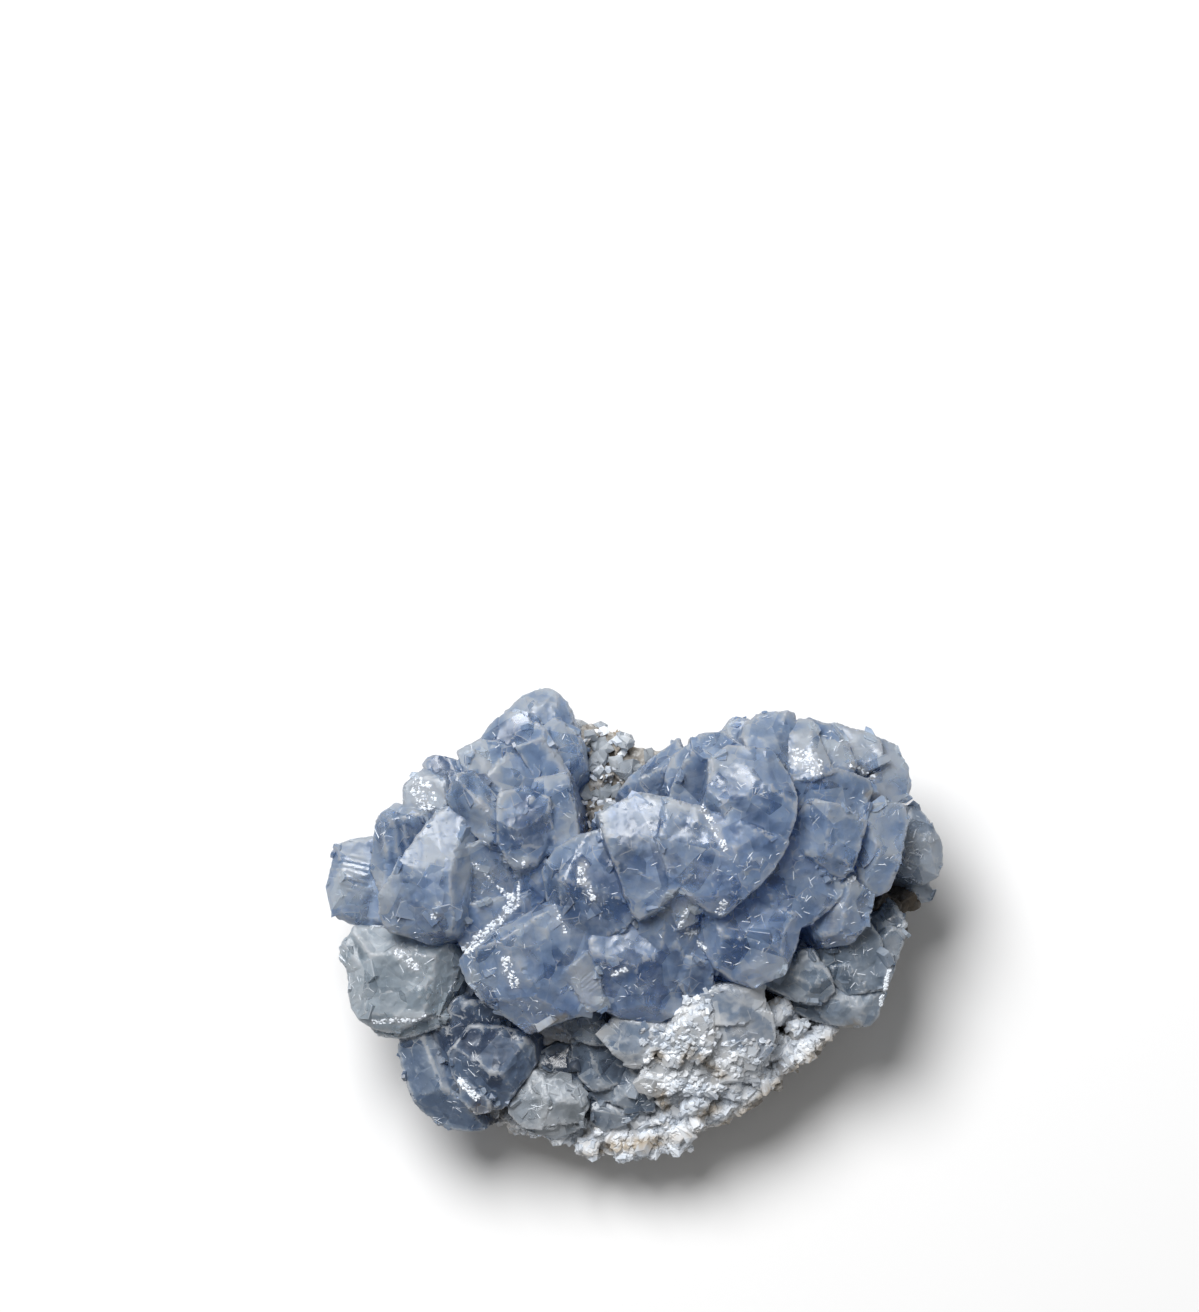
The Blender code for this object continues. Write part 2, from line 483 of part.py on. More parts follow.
            [(33, -4.5, 26.5, 240, 22), (37, -2.2, 26.8, 330, 22)],
        ),
        "grey_block_b": (
            [(31.5, -6.3), (36, -4.8), (40, -4.2), (41.4, -6), (40.3, -9.6), (37, -9.8),
             (34, -10.6), (31.5, -8.5)],
            [(36.5, -7, 26, 350, 14), (33.8, -8.4, 25.6, 245, 26)],
        ),
        "grey_block_c": (
            [(31, -10.4), (34, -9.2), (38.4, -8.4), (40, -10.3), (39.3, -12.3), (38.8, -14),
             (37.6, -15.5), (35, -16.1), (31.5, -15.4), (29.5, -13)],
            [(35.5, -11.5, 24.6, 80, 12), (34, -14, 24, 250, 24), (38, -13, 23.8, 320, 32)],
        ),
        "dark_corner": (
            [(24.8, -10.8), (28.8, -11), (31.4, -12), (31.6, -15.4), (28.2, -14.9), (25.8, -13.6)],
            [(28.5, -13, 22, 255, 26)],
        ),
        "pale_triangle": (
            [(38.8, -2.4), (41.5, 0.2), (43.5, -0.8), (42.5, -3.6), (41.3, -6.7), (39, -5)],
            [(41, -2.8, 24.5, 330, 24)],
        ),
        "small_slate": (
            [(38.2, 1.4), (41, 4.4), (42.9, 2), (43.6, 0.3), (41.5, -1), (38.8, -2)],
            [(40.8, 1, 22.8, 120, 22)],
        ),
    },
    "far_right_crystals": {
        "far_right_block": (
            [(44, 18.6), (44.8, 19.9), (47.1, 17.3), (48.1, 15.2), (49.3, 13), (49.2, 10),
             (48.3, 8), (46.5, 7.1), (43.5, 8), (41.8, 9), (42, 13)],
            [(45.8, 12.5, 26, 330, 18), (45, 17.5, 25, 55, 32), (48.4, 11, 24.5, 5, 50),
             (45.5, 8.5, 24.3, 262, 45)],
        ),
        "far_right_knob": (
            [(45, 8), (47.2, 7.4), (48, 5.6), (47.3, 4.1), (46, 4.5), (44.6, 6)],
            [(46.6, 5.9, 19.5, 310, 24)],
        ),
    },
}


def face_plane(face):
    """The plane of one flat face: its outward unit normal, and its distance from the origin."""
    x, y, z, bearing, tilt = face
    lean = math.radians(tilt)
    turn = math.radians(bearing)
    normal = np.array([math.sin(lean) * math.cos(turn), math.sin(lean) * math.sin(turn), math.cos(lean)])
    return normal, float(normal @ np.array([x, y, z]))


def turns_right(a, b, c):
    """Whether the way from a by b to c goes straight on or turns right."""
    return (b[0] - a[0]) * (c[1] - b[1]) - (b[1] - a[1]) * (c[0] - b[0]) <= 0


def half_hull(run):
    """The lower side of the hull of points in order, without its last point."""
    kept = []
    for point in run:
        while len(kept) > 1 and turns_right(kept[-2], kept[-1], point):
            kept.pop()
        kept.append(point)
    return kept[:-1]


def hull_in_plan(points):
    """The corners of the convex outline round points in plan, anticlockwise."""
    ordered = sorted(set(map(tuple, np.round(points, 6))))
    return half_hull(ordered) + half_hull(ordered[::-1])


def top_height(x, y, tops):
    """How high the top faces leave a crystal at a point in plan."""
    return min((offset - normal[0] * x - normal[1] * y) / normal[2] for normal, offset in tops)


def crystal_planes(outline, faces):
    """All planes of a crystal: its top faces, its sides along the growth axis, and its root."""
    tops = [face_plane(face) for face in faces]
    corners = np.array([(x, y, top_height(x, y, tops)) for x, y in outline])
    crown = corners.mean(axis=0)
    axis = crown - np.array(ROOT)
    axis /= np.linalg.norm(axis)
    ring = hull_in_plan(corners[:, :2] - corners[:, 2:] * axis[:2] / axis[2])
    sides = []
    for start, end in zip(ring, ring[1:] + ring[:1]):
        along = np.array([end[0] - start[0], end[1] - start[1], 0.0])
        normal = np.cross(along, axis)
        normal /= np.linalg.norm(normal)
        sides.append((normal, float(normal @ np.array([start[0], start[1], 0.0]))))
    drop = min(max(crown[2] - ROOT_HEIGHT, SHORTEST), LONGEST)
    root = crown - drop / axis[2] * axis
    return tops + sides + [(-axis, float(-axis @ root))]


def moved_out(planes, distance):
    """The same solid grown by that distance on every side."""
    return [(normal, offset + distance) for normal, offset in planes]


def object_of(bm, name):
    """An object in metres made from a mesh in millimetres."""
    bmesh.ops.scale(bm, vec=(MM, MM, MM), verts=bm.verts)
    mesh = bpy.data.meshes.new(name)
    bm.to_mesh(mesh)
    bm.free()
    return bpy.data.objects.new(name, mesh)


def solid_from_planes(planes, name):
    """A large block cut by every plane and closed again at each cut."""
    bm = bmesh.new()
    bmesh.ops.create_cube(bm, size=BLOCK)
    for normal, offset in planes:
        cut = bmesh.ops.bisect_plane(
            bm,
            geom=list(bm.verts) + list(bm.edges) + list(bm.faces),
            dist=CUT_TOLERANCE,
            plane_co=Vector(normal * offset),
            plane_no=Vector(normal),
            clear_outer=True,
        )
        rim = [item for item in cut["geom_cut"] if isinstance(item, bmesh.types.BMEdge)]
        if rim:
            bmesh.ops.edgenet_fill(bm, edges=rim)
    bmesh.ops.remove_doubles(bm, verts=bm.verts, dist=CORNER_TOLERANCE)
    bmesh.ops.recalc_face_normals(bm, faces=bm.faces)
    return object_of(bm, name)


def hidden_collection(name, helpers, cutters):
    """A collection of helpers, drawn as wire and left out of renders."""
    held = bpy.data.collections.new(name)
    cutters.children.link(held)
    for helper in helpers:
        held.objects.link(helper)
        helper.hide_render = True
        helper.display_type = "WIRE"
    return held


def add_boolean(target, operation, held):
    """A cut from, or a join to, everything in a collection."""
    step = target.modifiers.new(operation.lower(), "BOOLEAN")
    step.operation = operation
    step.operand_type = "COLLECTION"
    step.collection = held
    step.solver = "EXACT"


def keep_largest_body(bm):
    """Removes the loose bits that a cut can leave, all but the body with the most faces."""
    unseen = set(bm.faces)
    bodies = []
    while unseen:
        body = set()
        edge_of_body = [unseen.pop()]
        while edge_of_body:
            face = edge_of_body.pop()
            body.add(face)
            near = {other for edge in face.edges for other in edge.link_faces} & unseen
            unseen -= near
            edge_of_body.extend(near)
        bodies.append(body)
    largest = max(bodies, key=len)
    spare = [face for body in bodies if body is not largest for face in body]
    bmesh.ops.delete(bm, geom=spare, context="FACES")


def apply_modifiers(obj):
    """Gives the object its evaluated mesh, without the loose bits that cuts leave."""
    bpy.context.view_layer.update()
    graph = bpy.context.evaluated_depsgraph_get()
    mesh = bpy.data.meshes.new_from_object(obj.evaluated_get(graph))
    obj.modifiers.clear()
    obj.data = mesh
    bm = bmesh.new()
    bm.from_mesh(mesh)
    keep_largest_body(bm)
    bm.to_mesh(mesh)
    bm.free()


def made_material(name):
    """The plain finish of one piece."""
    red, green, blue, roughness = FINISHES[name]
    material = bpy.data.materials.new(name)
    material.use_nodes = True
    shader = material.node_tree.nodes["Principled BSDF"]
    shader.inputs["Base Color"].default_value = (red, green, blue, 1)
    shader.inputs["Roughness"].default_value = roughness
    shader.inputs["Metallic"].default_value = 0
    material.diffuse_color = (red, green, blue, 1)
    return material


def joined_crystals(name, crystals, margin, cutters):
    """One object made of all the crystals of a group, each grown by the margin."""
    solids = []
    for crystal, (outline, faces) in crystals.items():
        planes = moved_out(crystal_planes(outline, faces), margin)
        solids.append(solid_from_planes(planes, f"{name}_{crystal}"))
    whole, *others = solids
    whole.name = name
    if others:
        add_boolean(whole, "UNION", hidden_collection(f"{name}_others", others, cutters))
    return whole


def rim_reach(bearing):
    """How far the rock's rim is from its middle at this bearing, in radians."""
    corners = sorted((math.atan2(y, x), math.hypot(x, y)) for x, y in ROCK_RIM)
    angles = [corners[-1][0] - math.tau] + [a for a, _ in corners] + [corners[0][0] + math.tau]
    reaches = [corners[-1][1]] + [r for _, r in corners] + [corners[0][1]]
    return float(np.interp(bearing, angles, reaches))


def rim_height(bearing):
    """How high the rock's rim is at this bearing: lowest in front, highest at the back."""
    return FRONT_RIM_HEIGHT + (BACK_RIM_HEIGHT - FRONT_RIM_HEIGHT) * (1 + math.sin(bearing)) / 2


def between(bearing, ends):
    """1 between two bearings given in degrees, fading to 0 past them."""
    low, high = (math.radians(end) for end in ends)
    outside = max(low - bearing, bearing - high, 0.0)
    return max(0.0, 1.0 - outside / math.radians(FADE))


def dome_height(share, bearing):
    """How high the rock's upper side is, at this share of the way from its middle to its rim."""
    low = rim_height(bearing)
    flat = min(share, 1.0) ** (1 / SHOULDER)
    crown = CROWN + (HOLLOW_CROWN - CROWN) * between(bearing, HOLLOW_BEARINGS)
    return low + (DOME_HEIGHT - low) * math.sqrt(1 - flat * flat) ** crown


def rock_point(direction):
    """Where a point of the unit ball goes on the rock.

    In plan it goes out to the rim. The upper half is a dome that rises from the rim, with
    ledges along the front, and the lower half a bowl that the ground cuts off flat.
    """
    x, y, z = direction
    bearing = math.atan2(y, x)
    flat = min(math.hypot(x, y), 1.0)
    if z >= 0:
        share = flat ** SHOULDER
        height = dome_height(share, bearing)
        stepped = round(height / LEDGE_DROP) * LEDGE_DROP
        height += (stepped - height) * LEDGE_FLATNESS * between(bearing, LEDGE_BEARINGS)
    else:
        share = flat ** UNDERCUT
        height = rim_height(bearing) * (1 + z) + BASE_CUT * z
    lump = noise.noise(Vector(direction) * LUMP_SCALE)
    lump += FINER_SHARE * noise.noise(Vector(direction) * LUMP_SCALE * FINER_LUMPS)
    reach = rim_reach(bearing) * share * (1 - LUMP + LUMP * lump)
    return Vector((reach * math.cos(bearing), reach * math.sin(bearing), max(height, 0.0)))


def small_crystal(place, size, turn, name):
    """A small blocky crystal, a box a little longer than wide, turned corner up."""
    bm = bmesh.new()
    bmesh.ops.create_cube(bm, size=2)
    bmesh.ops.scale(bm, vec=Vector(DRUSE_SHAPE) * size, verts=bm.verts)
    bmesh.ops.rotate(bm, matrix=Euler(turn).to_matrix(), verts=bm.verts)
    bmesh.ops.translate(bm, vec=place, verts=bm.verts)
    return object_of(bm, name)


def druse_places(chance):
    """Places and sizes of the small crystals, in rows on the rock, each a little out of line."""
    for first, last, inner, outer, rows, spacing, size in DRUSE:
        for row in range(rows):
            share = inner + (outer - inner) * row / (rows - 1)
            bearing = math.radians(first + DRUSE_STAGGER * row * spacing)
            while bearing < math.radians(last):
                there = share + chance.uniform(-DRUSE_STRAY, DRUSE_STRAY)
                radius = rim_reach(bearing) * there
                place = (radius * math.cos(bearing), radius * math.sin(bearing), dome_height(there, bearing))
                yield place, size
                bearing += spacing * chance.uniform(*DRUSE_SPACINGS) / radius
    for number in range(SKIRT_COUNT):
        bearing = math.remainder(math.tau * number / SKIRT_COUNT, math.tau)
        radius = rim_reach(bearing) * SKIRT_REACH
        height = rim_height(bearing) * chance.uniform(*SKIRT_HEIGHTS)
        yield (radius * math.cos(bearing), radius * math.sin(bearing), height), SKIRT_SIZE


def druse():
    """The small crystals on the rock, each turned its own way."""
    chance = np.random.default_rng(DRUSE_SEED)
    crystals = []
    for place, size in druse_places(chance):
        turn = chance.uniform(0, math.pi, 3)
        grown = size * chance.uniform(*DRUSE_SIZES)
        crystals.append(small_crystal(place, grown, turn, f"druse_{len(crystals)}"))
    return crystals


def hole(x, y, z, radius, name):
    """A ball that is taller than wide, which a deep hole is cut with."""
    bm = bmesh.new()
    bmesh.ops.create_icosphere(bm, subdivisions=1, radius=radius)
    bmesh.ops.scale(bm, vec=(1, 1, HOLE_STRETCH), verts=bm.verts)
    bmesh.ops.translate(bm, vec=(x, y, z), verts=bm.verts)
    return object_of(bm, name)


def rock(cutters):
    """The rock with its holes and its small crystals, before the sockets are cut."""
    bm = bmesh.new()
    bmesh.ops.create_uvsphere(bm, u_segments=ROCK_SEGMENTS, v_segments=ROCK_RINGS, radius=1)
    for vert in bm.verts:
        vert.co = rock_point(vert.co)
    bmesh.ops.dissolve_limit(bm, angle_limit=LEVEL_ANGLE, verts=bm.verts, edges=bm.edges)
    bmesh.ops.triangulate(bm, faces=bm.faces)
    whole = object_of(bm, "matrix")
    holes = [hole(*size, f"hole_{number}") for number, size in enumerate(HOLES)]
    add_boolean(whole, "DIFFERENCE", hidden_collection("holes", holes, cutters))
    add_boolean(whole, "UNION", hidden_collection("druse", druse(), cutters))
    return whole


def centre(objects):
    """Moves the meshes so that the whole stands on the ground with its middle at the origin."""
    corners = np.array([vert.co for obj in objects for vert in obj.data.vertices])
    low = corners.min(axis=0)
    high = corners.max(axis=0)
    shift = Vector((-(low[0] + high[0]) / 2, -(low[1] + high[1]) / 2, -low[2]))
    for obj in objects:
        obj.data.transform(Matrix.Translation(shift))


def main():
    """Builds the crystal groups, each clear of the ones before it, and then the rock."""
    for obj in list(bpy.data.objects):
        bpy.data.objects.remove(obj)
    parts = bpy.data.collections.new("celestite_cluster")
    cutters = bpy.data.collections.new("cutters")
    bpy.context.scene.collection.children.link(parts)
    bpy.context.scene.collection.children.link(cutters)

    sockets = []
    for name, crystals in CLUSTER.items():
        whole = joined_crystals(name, crystals, 0.0, cutters)
        parts.objects.link(whole)
        if sockets:
            add_boolean(whole, "DIFFERENCE", hidden_collection(f"{name}_clearance", sockets, cutters))
        whole.data.materials.append(made_material(name))
        apply_modifiers(whole)
        socket = joined_crystals(f"{name}_socket", crystals, GAP, cutters)
        hidden_collection(f"{name}_sockets", [socket], cutters)
        apply_modifiers(socket)
        sockets.append(socket)

    matrix = rock(cutters)
    parts.objects.link(matrix)
    matrix.data.materials.append(made_material("matrix"))
    add_boolean(matrix, "DIFFERENCE", hidden_collection("matrix_clearance", sockets, cutters))
    apply_modifiers(matrix)
    centre(list(parts.objects))


if __name__ == "__main__":
    main()
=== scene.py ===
"""The looks of a celestite cluster: worn, veined blue crystals on drusy grey-brown rock.

Every solid of the frame is stood for by a worn copy of itself, whose edges are rounded and
chipped and whose faces carry fine growth relief. Small crystals grow on them in the creases,
on the ledges and round the flanks. Distances are in metres.
"""

import itertools
import math

import bmesh
import bpy
import numpy as np
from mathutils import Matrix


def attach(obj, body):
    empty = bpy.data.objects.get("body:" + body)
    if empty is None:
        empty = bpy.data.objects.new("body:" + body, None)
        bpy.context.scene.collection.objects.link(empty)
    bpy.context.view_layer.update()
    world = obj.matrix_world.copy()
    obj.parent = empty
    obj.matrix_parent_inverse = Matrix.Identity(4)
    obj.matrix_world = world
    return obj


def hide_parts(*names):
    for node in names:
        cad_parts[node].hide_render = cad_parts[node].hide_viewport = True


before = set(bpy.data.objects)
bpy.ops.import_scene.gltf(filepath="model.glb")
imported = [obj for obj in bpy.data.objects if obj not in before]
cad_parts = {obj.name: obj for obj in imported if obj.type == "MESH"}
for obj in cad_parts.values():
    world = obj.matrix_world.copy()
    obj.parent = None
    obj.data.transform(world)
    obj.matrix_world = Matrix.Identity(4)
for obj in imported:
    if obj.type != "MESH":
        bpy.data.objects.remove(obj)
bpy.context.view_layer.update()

MM = 0.001

# Crystals grow away from this point, deep under the cluster.
ROOT = np.array([0.0, -2.2, -58.0]) * MM

# Voxel that rounds the edges of each solid, and the most triangles its worn copy keeps.
WORN = {
    "main_crystals": (0.24, 198000),
    "pale_left_crystal": (0.22, 70000),
    "lower_left_crystals": (0.22, 70000),
    "front_crystals": (0.20, 50000),
    "hollow_crystals": (0.20, 60000),
    "white_crust_crystals": (0.20, 80000),
    "lower_right_crystals": (0.20, 70000),
    "far_right_crystals": (0.20, 50000),
    "matrix": (0.34, 190000),
}

# Facets that break up the large faces: size in mm, slope, hollowness, and the share of the
# surface that has them.
FACETS = ((6.0, 0.07, 0.09, 0.55), (2.8, 0.09, 0.11, 0.45), (1.3, 0.10, 0.12, 0.35))

# Crystals that are darker (below 0) or paler (above 0) than their neighbours: plan place and
# reach in mm, and shade.
SHADES = (
    (-7, 6, 8, -0.9), (7, -1.5, 4.5, -0.7), (9.5, -7, 4, -0.5), (31, 22.5, 5.5, -0.5), (33, 1, 6, -0.6),
    (-17.5, 16, 6, -0.9), (-18, 9.5, 4, 1.4), (-24, 8, 5, 1.2), (31, 14, 6, -0.1), (-28.5, 17, 4, -0.3),
    (-44.8, 6.5, 6.5, 1.6), (-33.5, 21, 4.5, 0.8), (-24, 25.5, 3, 0.5), (-20.5, 31.5, 3.5, -0.5),
    (-15.5, 35, 5, 0.2), (-11.5, 29, 4, 1.1), (-31, 25.8, 3, -1.1), (21, 31, 5, -0.7), (27, 28, 5, 0.5),
    (32, 28, 4, 0.6), (36, 29, 4, 0.8), (40.5, 26.5, 4, 1.2), (40.5, 21.5, 3.5, 1.0), (39.6, 13.4, 4.5, 0.4),
    (-8.2, -8.7, 4.5, 1.4), (-23, 1.6, 4, 0.9), (7.2, 3.8, 4, 1.8), (9, 0.1, 3, 0.7), (-17, -13.5, 5, 0.5),
    (20, -6, 5, 0.4), (1, 12, 8, -0.8), (18.7, 21, 7, -0.4), (-36, -15.6, 3.5, 1.2), (-45, -4, 2.5, -1.2), (-22, -22, 6, -0.8),
    (-28.5, -17, 4, -1.2), (-32, -25, 5, 0.4), (-17, -28, 4, 0.4), (-13.3, -32, 3.5, 1.3), (-7.6, -16, 3.5, 1.4),
    (-12, -22, 4, -1.2), (0, -26.5, 4, 1.2), (-3.5, -30, 3.5, 1.3), (-5, -26, 2.5, 1.2), (-0.3, -18, 4.5, -1.2),
    (15.2, -12, 4.5, -1.3), (18.5, -17, 5, -1.5), (9.4, -16, 4.5, 0.6), (4.4, -24, 4.5, 0.7),
    (11, -24, 4.5, 0.6), (15, -20.5, 3.5, 0.6), (27, -8, 5, 0.4), (36, -12, 4.5, 0.4), (41, -3, 3, 1.1),
    (45.5, 12, 5, 1.4), (46.4, 6, 3, 0.8),
)

# White marks, frosted faces, bright edges and rays, and painted highlights on facets that catch the key light (the
# bright strip at the front left and the bright crystal at the back right):
# the two ends and the reach of each in mm, and strength.
MARKS_AND_HIGHLIGHTS = (
    (-26.8, -3.4, -24.9, -1.6, 1.2, 1.0), (-24.9, -1.6, -20.0, 2.7, 0.9, 1.0),
    (-34.4, 22.4, -33.2, 20.2, 2.8, 0.8), (26.0, 27.4, 28.8, 25.6, 2.0, 1.0),
    (10.7, 19.2, 14.2, 13.0, 0.9, 0.9), (-8.4, 10.2, -8.2, 9.8, 1.2, 1.0), (-8.5, 8.8, -8.4, 7.4, 1.0, 0.9),
    (-7.6, 7.0, -6.6, 5.0, 1.0, 0.6), (-13.2, 4.3, -11.0, -1.2, 0.7, 0.6), (-20.6, -5.0, -19.2, -9.0, 1.6, 0.6),
    (-3.3, -7.3, -1.7, -6.6, 0.6, 1.0), (7.0, 0.2, 8.2, 2.8, 0.5, 0.9), (8.5, -0.5, 9.8, -0.5, 0.8, 0.9),
    (10.2, -2.3, 11.2, -3.4, 0.6, 0.9), (13.4, 2.6, 14.0, 4.2, 1.0, 0.9), (-37.8, -3.8, -35.2, -6.4, 1.4, 0.7),
    (-42.0, -15.2, -30.4, -14.3, 0.6, 0.8), (-31.2, 4.0, -32.2, 1.6, 0.7, 0.7), (34.2, 7.5, 35.0, 8.4, 0.8, 1.0),
    (31.4, -0.6, 32.8, 5.0, 0.7, 0.5), (39.4, -12.4, 41.0, -5.0, 0.6, 0.6), (-24.6, 26.8, -22.2, 23.4, 1.1, 0.5),
    (-32.4, -17.0, -30.4, -25.6, 0.7, 0.5), (-28.0, -24.8, -25.4, -27.4, 0.8, 0.8), (34.2, 26.0, 38.0, 24.2, 0.6, 0.6),
    (-19.0, 3.7, -25.8, 10.4, 0.5, 0.6), (-19.0, 3.7, -23.6, 11.6, 0.45, 0.5), (-19.0, 3.7, -21.0, 11.6, 0.4, 0.5),
    (-8.6, -7.4, -7.2, -10.6, 3.2, 0.49), (-19.0, 3.7, -17.8, 10.8, 0.45, 0.6), (-19.0, 3.7, -27.0, 7.0, 0.4, 0.5), (-20.4, 3.0, -17.6, 4.6, 1.1, 0.8),
    (5.8, 3.6, 8.4, 3.9, 1.6, 0.49), (39.4, 28.4, 41.2, 26.0, 1.6, 0.45), (39.4, 22.6, 41.2, 21.6, 1.8, 0.45),
    (-14.0, -31.0, -12.6, -32.6, 1.8, 0.49), (41.0, -4.0, 41.2, -2.2, 1.5, 0.45),
)

# Growth grooves: plan place and reach in mm, bearing across them, spacing in mm, and strength.
GROOVES = ((-44.8, 8.6, 4.5, 80, 0.9, 0.7), (-38.2, 14.0, 5.5, 6, 1.7, 1.0), (-7.6, -8.4, 3.0, 128, 0.6, 0.5))

# Ochre and brown stains: the two ends and the reach of each in mm, and strength.
STAINS = (
    (3.5, -20.3, 3.9, -20.8, 1.4, 0.9), (7.7, -21.8, 9.0, -19.2, 1.2, 0.8), (10.5, -20.9, 14.0, -24.0, 1.1, 0.9),
    (4.0, -26.8, 4.9, -29.0, 1.3, 1.0), (10.5, -30.4, 13.0, -29.0, 1.4, 0.9), (-4.6, -35.7, 3.0, -34.9, 1.5, 0.8),
    (-16.9, -16.6, -11.3, -14.0, 0.9, 0.9), (37.0, 21.4, 38.6, 20.8, 1.0, 0.8), (34.3, 26.0, 38.0, 24.3, 0.9, 0.6),
    (-25.0, -29.0, -20.0, -33.0, 2.2, 0.5), (35.0, -16.0, 15.0, -32.5, 1.8, 0.9), (15, -32.5, -8.5, -37, 1.3, 0.6),
)

# The dark rock at the right end and the bare brown rim at the lower right, in the same form.
DARK_ROCK = (
    (40.5, 1.5, 46.5, 7.5, 4.5, 2.0), (43.0, -2.0, 44.5, 1.0, 2.5, 1.5), (37.0, -14.5, 16.0, -32.6, 1.8, 0.7),
)

# How far the worn surfaces stand out of the solids, which closes the gaps between the groups.
SWELL = 0.12 * MM


def lattice(seed):
    """A cube of random numbers from -1 to 1, which noise is read from."""
    return np.random.default_rng(seed).uniform(-1, 1, (32, 32, 32))


def noise(points, size, numbers):
    """Value noise with lumps of a given size.

    The random number at each of the eight lattice corners round a point is weighted by the
    smooth step 3t^2 - 2t^3 of the point's distance from it along each axis, and summed.
    """
    place = points / size
    corner = np.floor(place).astype(int)
    share = place - corner
    share = share * share * (3 - 2 * share)
    total = np.zeros(len(points))
    for step in itertools.product((0, 1), repeat=3):
        index = (corner + step) % 32
        weight = np.prod(np.where(step, share, 1 - share), axis=1)
        total += weight * numbers[index[:, 0], index[:, 1], index[:, 2]]
    return total


def rough(points, size, numbers, octaves=3):
    """Noise summed over octaves, each half as large and half as strong as the one before."""
    return sum(noise(points + 7.3 * o * size, size / 2**o, numbers) / 2**o for o in range(octaves))


def facet_relief(points, size, slope, hollow, seed):
    """Heights of shallow facets that meet in sharp ridges, and a random number for each facet.

    Each box of a lattice has a seed at a random place in it, with a random slope. A seed's
    height at a point is its slope times the way there, plus the hollowness times the square
    of the way over the size. The point takes the least height of the 27 seeds round it.
    """
    chance = np.random.default_rng(seed)
    jitter = chance.uniform(0.05, 0.95, (32**3, 3))
    slopes = slope * chance.uniform(-1, 1, (32**3, 3))
    place = points / size
    corner = np.floor(place).astype(int)
    height = np.full(len(points), np.inf)
    owner = np.zeros(len(points), int)
    for step in itertools.product((-1, 0, 1), repeat=3):
        box = corner + step
        index = (box % 32) @ [1024, 32, 1]
        way = place - box - jitter[index]
        level = np.einsum("ij,ij->i", slopes[index] + hollow * way, way)
        owner = np.where(level < height, index, owner)
        height = np.minimum(height, level)
    return height * size, chance.uniform(-1, 1, 32**3)[owner]


def broken_faces(points):
    """The relief of all sizes of facet, and a shade for each place, from its facets' numbers."""
    relief = np.zeros(len(points))
    shade = np.zeros(len(points))
    for i, (size, slope, hollow, share) in enumerate(FACETS):
        height, number = facet_relief(points, size * MM, slope, hollow, 31 + 2 * i)
        patch = noise(points, 2.2 * size * MM, lattice(41 + i)) * 0.5 + 0.5
        there = np.clip((share - patch) / 0.12 + 0.5, 0, 1)
        relief += there * height
        shade += there * number * (0.5, 0.4, 0.3)[i]
    return relief, shade


def patches(points, rows):
    """Sum over rows of strength times a smooth fall from 1 on the row's line to 0 at its reach.

    A row is a line in plan: both ends, the reach in mm, and the strength.
    """
    flat = points[:, :2] / MM
    total = np.zeros(len(points))
    for x0, y0, x1, y1, reach, strength in rows:
        start, way = np.array([x0, y0]), np.array([x1 - x0, y1 - y0])
        along = np.clip((flat - start) @ way / max(way @ way, 1e-9), 0, 1)
        distance = np.linalg.norm(flat - start - along[:, None] * way, axis=1)
        total += strength * np.clip(1.5 - 1.5 * distance / reach, 0, 1)
    return total


def growth_grooves(points):
    """Waves along each row's bearing, from -1 to 1, that fade to 0 at its reach."""
    flat = points[:, :2] / MM
    total = np.zeros(len(points))
    for x, y, reach, bearing, spacing, strength in GROOVES:
        way = flat - (x, y)
        turn = math.radians(bearing)
        phase = way @ (math.cos(turn), math.sin(turn)) / spacing + 0.2 * rough(points, 3 * MM, lattice(53), 2)
        fade = np.clip(1.5 - 1.5 * np.linalg.norm(way, axis=1) / reach, 0, 1)
        total += strength * fade * np.cos(2 * math.pi * phase)
    return total


def vertex_array(mesh):
    """The places of a mesh's vertices, one row each."""
    flat = np.empty(len(mesh.vertices) * 3, np.float32)
    mesh.vertices.foreach_get("co", flat)
    return flat.reshape(-1, 3).astype(float)


def triangle_array(mesh):
    """The corners of a mesh's triangles, one row each."""
    mesh.calc_loop_triangles()
    flat = np.empty(len(mesh.loop_triangles) * 3, np.int32)
    mesh.loop_triangles.foreach_get("vertices", flat)
    return flat.reshape(-1, 3)


def face_normals(points, triangles):
    """Unit normals and areas of triangles, from the cross product of two of their sides."""
    a, b, c = (points[triangles[:, i]] for i in range(3))
    cross = np.cross(b - a, c - a)
    length = np.linalg.norm(cross, axis=1)
    return cross / np.maximum(length, 1e-18)[:, None], length / 2


def vertex_normals(points, triangles):
    """Unit normals of vertices, the mean of the faces round each, weighted by area."""
    normal, area = face_normals(points, triangles)
    total = np.zeros_like(points)
    for i in range(3):
        np.add.at(total, triangles[:, i], normal * area[:, None])
    return total / np.maximum(np.linalg.norm(total, axis=1), 1e-18)[:, None]


def sharpness(points, triangles, rounds):
    """How far each vertex stands out of its neighbours' mean, along its normal, smoothed.

    It is positive on ridges and tips, and negative in creases.
    """
    normal = vertex_normals(points, triangles)
    pairs = np.concatenate([triangles[:, [0, 1]], triangles[:, [1, 2]], triangles[:, [2, 0]]])
    count = np.maximum(np.bincount(pairs[:, 0], minlength=len(points)), 1)[:, None]

    def mean_of_neighbours(values):
        return np.stack(
            [np.bincount(pairs[:, 0], values[pairs[:, 1], i], len(points)) for i in range(values.shape[1])], 1
        ) / count

    centre = points
    for _ in range(rounds):
        centre = mean_of_neighbours(centre)
    return np.einsum("ij,ij->i", points - centre, normal)


